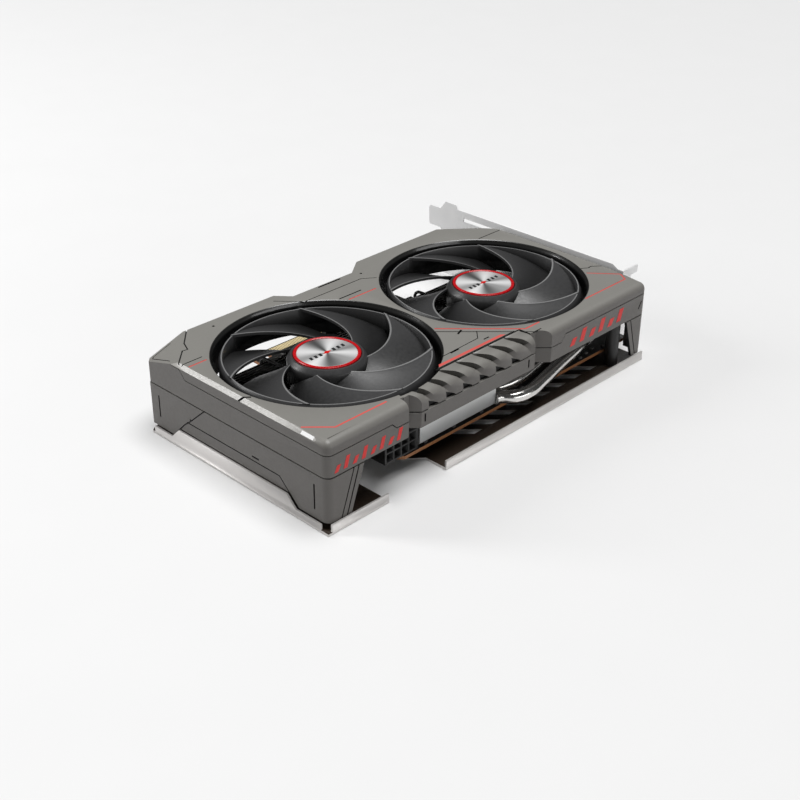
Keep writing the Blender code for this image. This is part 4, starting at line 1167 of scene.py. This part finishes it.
def make_fins():
    """Thin sheets at a close pitch on their base plates, with a plain outer sheet."""
    stacks = {
        "fin_stack_tail": ((57.8, 10.4), (103.3, 92.0), 8.6),
        "fin_stack_end": ((30.0, 30.2), (57.5, 92.0), 8.6),
        "fin_stack_main": ((105.0, 21.2), (176.0, 92.0), 13.6),
    }
    for name, (low, high, bottom) in stacks.items():
        sheets = [((low[0], low[1], bottom), (high[0], high[1], bottom + 0.9))]
        y = low[1] + 0.2
        while y < high[1] - 0.3:
            sheets.append(((low[0], y, bottom + 0.5), (high[0], y + 0.3, 18.4)))
            y += 1.75
        made = boxes(name + "_sheets", sheets, ("fins",))
        show(made, "card", "fin_aluminium", name)
    outer = [
        (9.05, 18.4), (9.05, 10.4), (9.5, 9.4), (10.4, 8.8), (11.6, 8.6), (11.6, 8.9), (10.6, 9.1),
        (9.8, 9.6), (9.4, 10.5), (9.4, 18.4),
    ]
    sheet = plate("outer_fin", outer, 57.8, 103.3, ("fin_side",), "X")
    show(crisp(sheet), "card", "fin_aluminium")


def make_pipes():
    """The two nickel pipes, as smooth bent tubes."""
    routes = {
        "heat_pipe_1": [
            (103.7, 9.8, 11.6), (106.4, 9.2, 11.5), (111.0, 5.2, 11.3), (118.0, 3.6, 11.4),
            (130.0, 5.4, 11.8), (143.0, 8.2, 12.3), (158.0, 11.2, 12.6), (172.0, 14.2, 13.0),
            (182.0, 16.6, 13.2),
        ],
        "heat_pipe_2": [
            (103.7, 16.8, 12.2), (106.4, 16.4, 12.4), (112.0, 13.0, 13.2), (120.0, 11.6, 13.8),
            (132.0, 13.0, 14.2), (144.0, 15.6, 14.4), (158.0, 17.9, 14.5),
        ],
    }
    for name, route in routes.items():
        curve = bpy.data.curves.new(name + "_line", "CURVE")
        curve.dimensions = "3D"
        curve.bevel_depth = 2.85 * MM
        curve.bevel_resolution = 7
        curve.use_fill_caps = True
        curve.resolution_u = 10
        spline = curve.splines.new("BEZIER")
        spline.bezier_points.add(len(route) - 1)
        for point, place in zip(spline.bezier_points, route):
            point.co = at(*place)
            point.handle_left_type = point.handle_right_type = "AUTO"
        pipe = item_for(name + "_bent", mesh_of_curve(curve, name), ("nickel",))
        show(crisp(pipe), "card", "nickel_pipe", name)


# ---------------------------------------------------------------- scene


# The camera's place in card millimetres, and its three axes, fitted to the photograph's straight edges.
CAMERA_PLACE = (-262.875, -288.575, 277.480)
CAMERA_RIGHT = Vector((0.69645194, -0.71756728, 0.00720401))
CAMERA_UP = Vector((0.34955937, 0.34800634, 0.86988496))
CAMERA_BACK = Vector((-0.62670802, -0.60331484, 0.49320205))
CAMERA_LENS = 58.67
SUN_POWER = 3.05
SUN_WIDTH = 40.0
SUN_DIRECTION = Vector((-0.08, 0.12, -1.0))
# Name, place, target and size in metres, and power in watts.
AREA_LIGHTS = (
    ("softbox_far", (-0.78, 0.90, 0.56), (0, 0, 0.03), (0.28, 0.80), 7.0),
    ("fill_near", (0.15, -1.2, 0.22), (0, 0, 0.01), (1.2, 0.25), 2.4),
)
WORLD_STRENGTH = 0.06
FLOOR_HALF_WIDTH = 6.0
FLOOR_PLACE = (1.5, 1.5, -0.0001)


def make_camera():
    data = bpy.data.cameras.new("camera")
    data.lens = CAMERA_LENS
    data.sensor_width = 36.0
    data.clip_start = 0.01
    data.clip_end = 50.0
    camera = bpy.data.objects.new("camera", data)
    bpy.context.scene.collection.objects.link(camera)
    turn = Matrix((CAMERA_RIGHT, CAMERA_UP, CAMERA_BACK)).transposed().to_4x4()
    camera.matrix_world = Matrix.Translation(at(*CAMERA_PLACE)) @ turn
    bpy.context.scene.camera = camera


def add_light(name, kind, power, direction, place=(0, 0, 0)):
    """A light that shines along a direction; its own settings are returned."""
    data = bpy.data.lights.new(name, kind)
    data.energy = power
    light = bpy.data.objects.new(name, data)
    bpy.context.scene.collection.objects.link(light)
    light.location = place
    light.rotation_euler = direction.to_track_quat("-Z", "Y").to_euler()
    return data


def make_studio():
    """A plain pale floor, a wide soft light from above, and two soft boxes."""
    solid = bmesh.new()
    bmesh.ops.create_grid(solid, x_segments=8, y_segments=8, size=FLOOR_HALF_WIDTH)
    floor = item_for("studio_floor", mesh_of(solid, "studio_floor"), ("floor",))
    floor.location = FLOOR_PLACE
    add_light("overhead", "SUN", SUN_POWER, SUN_DIRECTION).angle = math.radians(SUN_WIDTH)
    for name, place, target, size, power in AREA_LIGHTS:
        box = add_light(name, "AREA", power, Vector(target) - Vector(place), place)
        box.shape = "RECTANGLE"
        box.size, box.size_y = size
    world = bpy.data.worlds.new("studio")
    world.use_nodes = True
    sky = world.node_tree.nodes["Background"]
    sky.inputs["Color"].default_value = (1.0, 1.0, 1.0, 1.0)
    sky.inputs["Strength"].default_value = WORLD_STRENGTH
    bpy.context.scene.world = world
    bpy.context.scene.view_settings.view_transform = "Standard"


# The first name that a CAD node starts with gives its finish. Only nodes still on show are listed.
CAD_LOOKS = {
    "stator_": "copper",
    "fan_frame_": "inner",
    "fan_lead_": "wire",
    "fan_header_": "black",
    "cold_plate": "copper",
    "gpu_": "chip",
    "memory_": "chip",
    "choke_": "ferrite",
    "capacitor_": "plated",
    "bracket_screw_": "plated",
}


def dress_nodes():
    for name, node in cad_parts.items():
        if node.hide_render:
            continue
        for start, key in CAD_LOOKS.items():
            if name.startswith(start):
                for slot in node.material_slots:
                    slot.material = M[key]
                break


make_cover()
make_corner_line()
make_bands()
make_marks()
make_rib_bar()
make_red_band()
make_skirt()
make_leg()
make_rims()
for which in range(2):
    make_rotor(which)
make_metalwork()
make_board()
make_fins()
make_pipes()
make_bevel_insert()
dress_nodes()
make_camera()
make_studio()
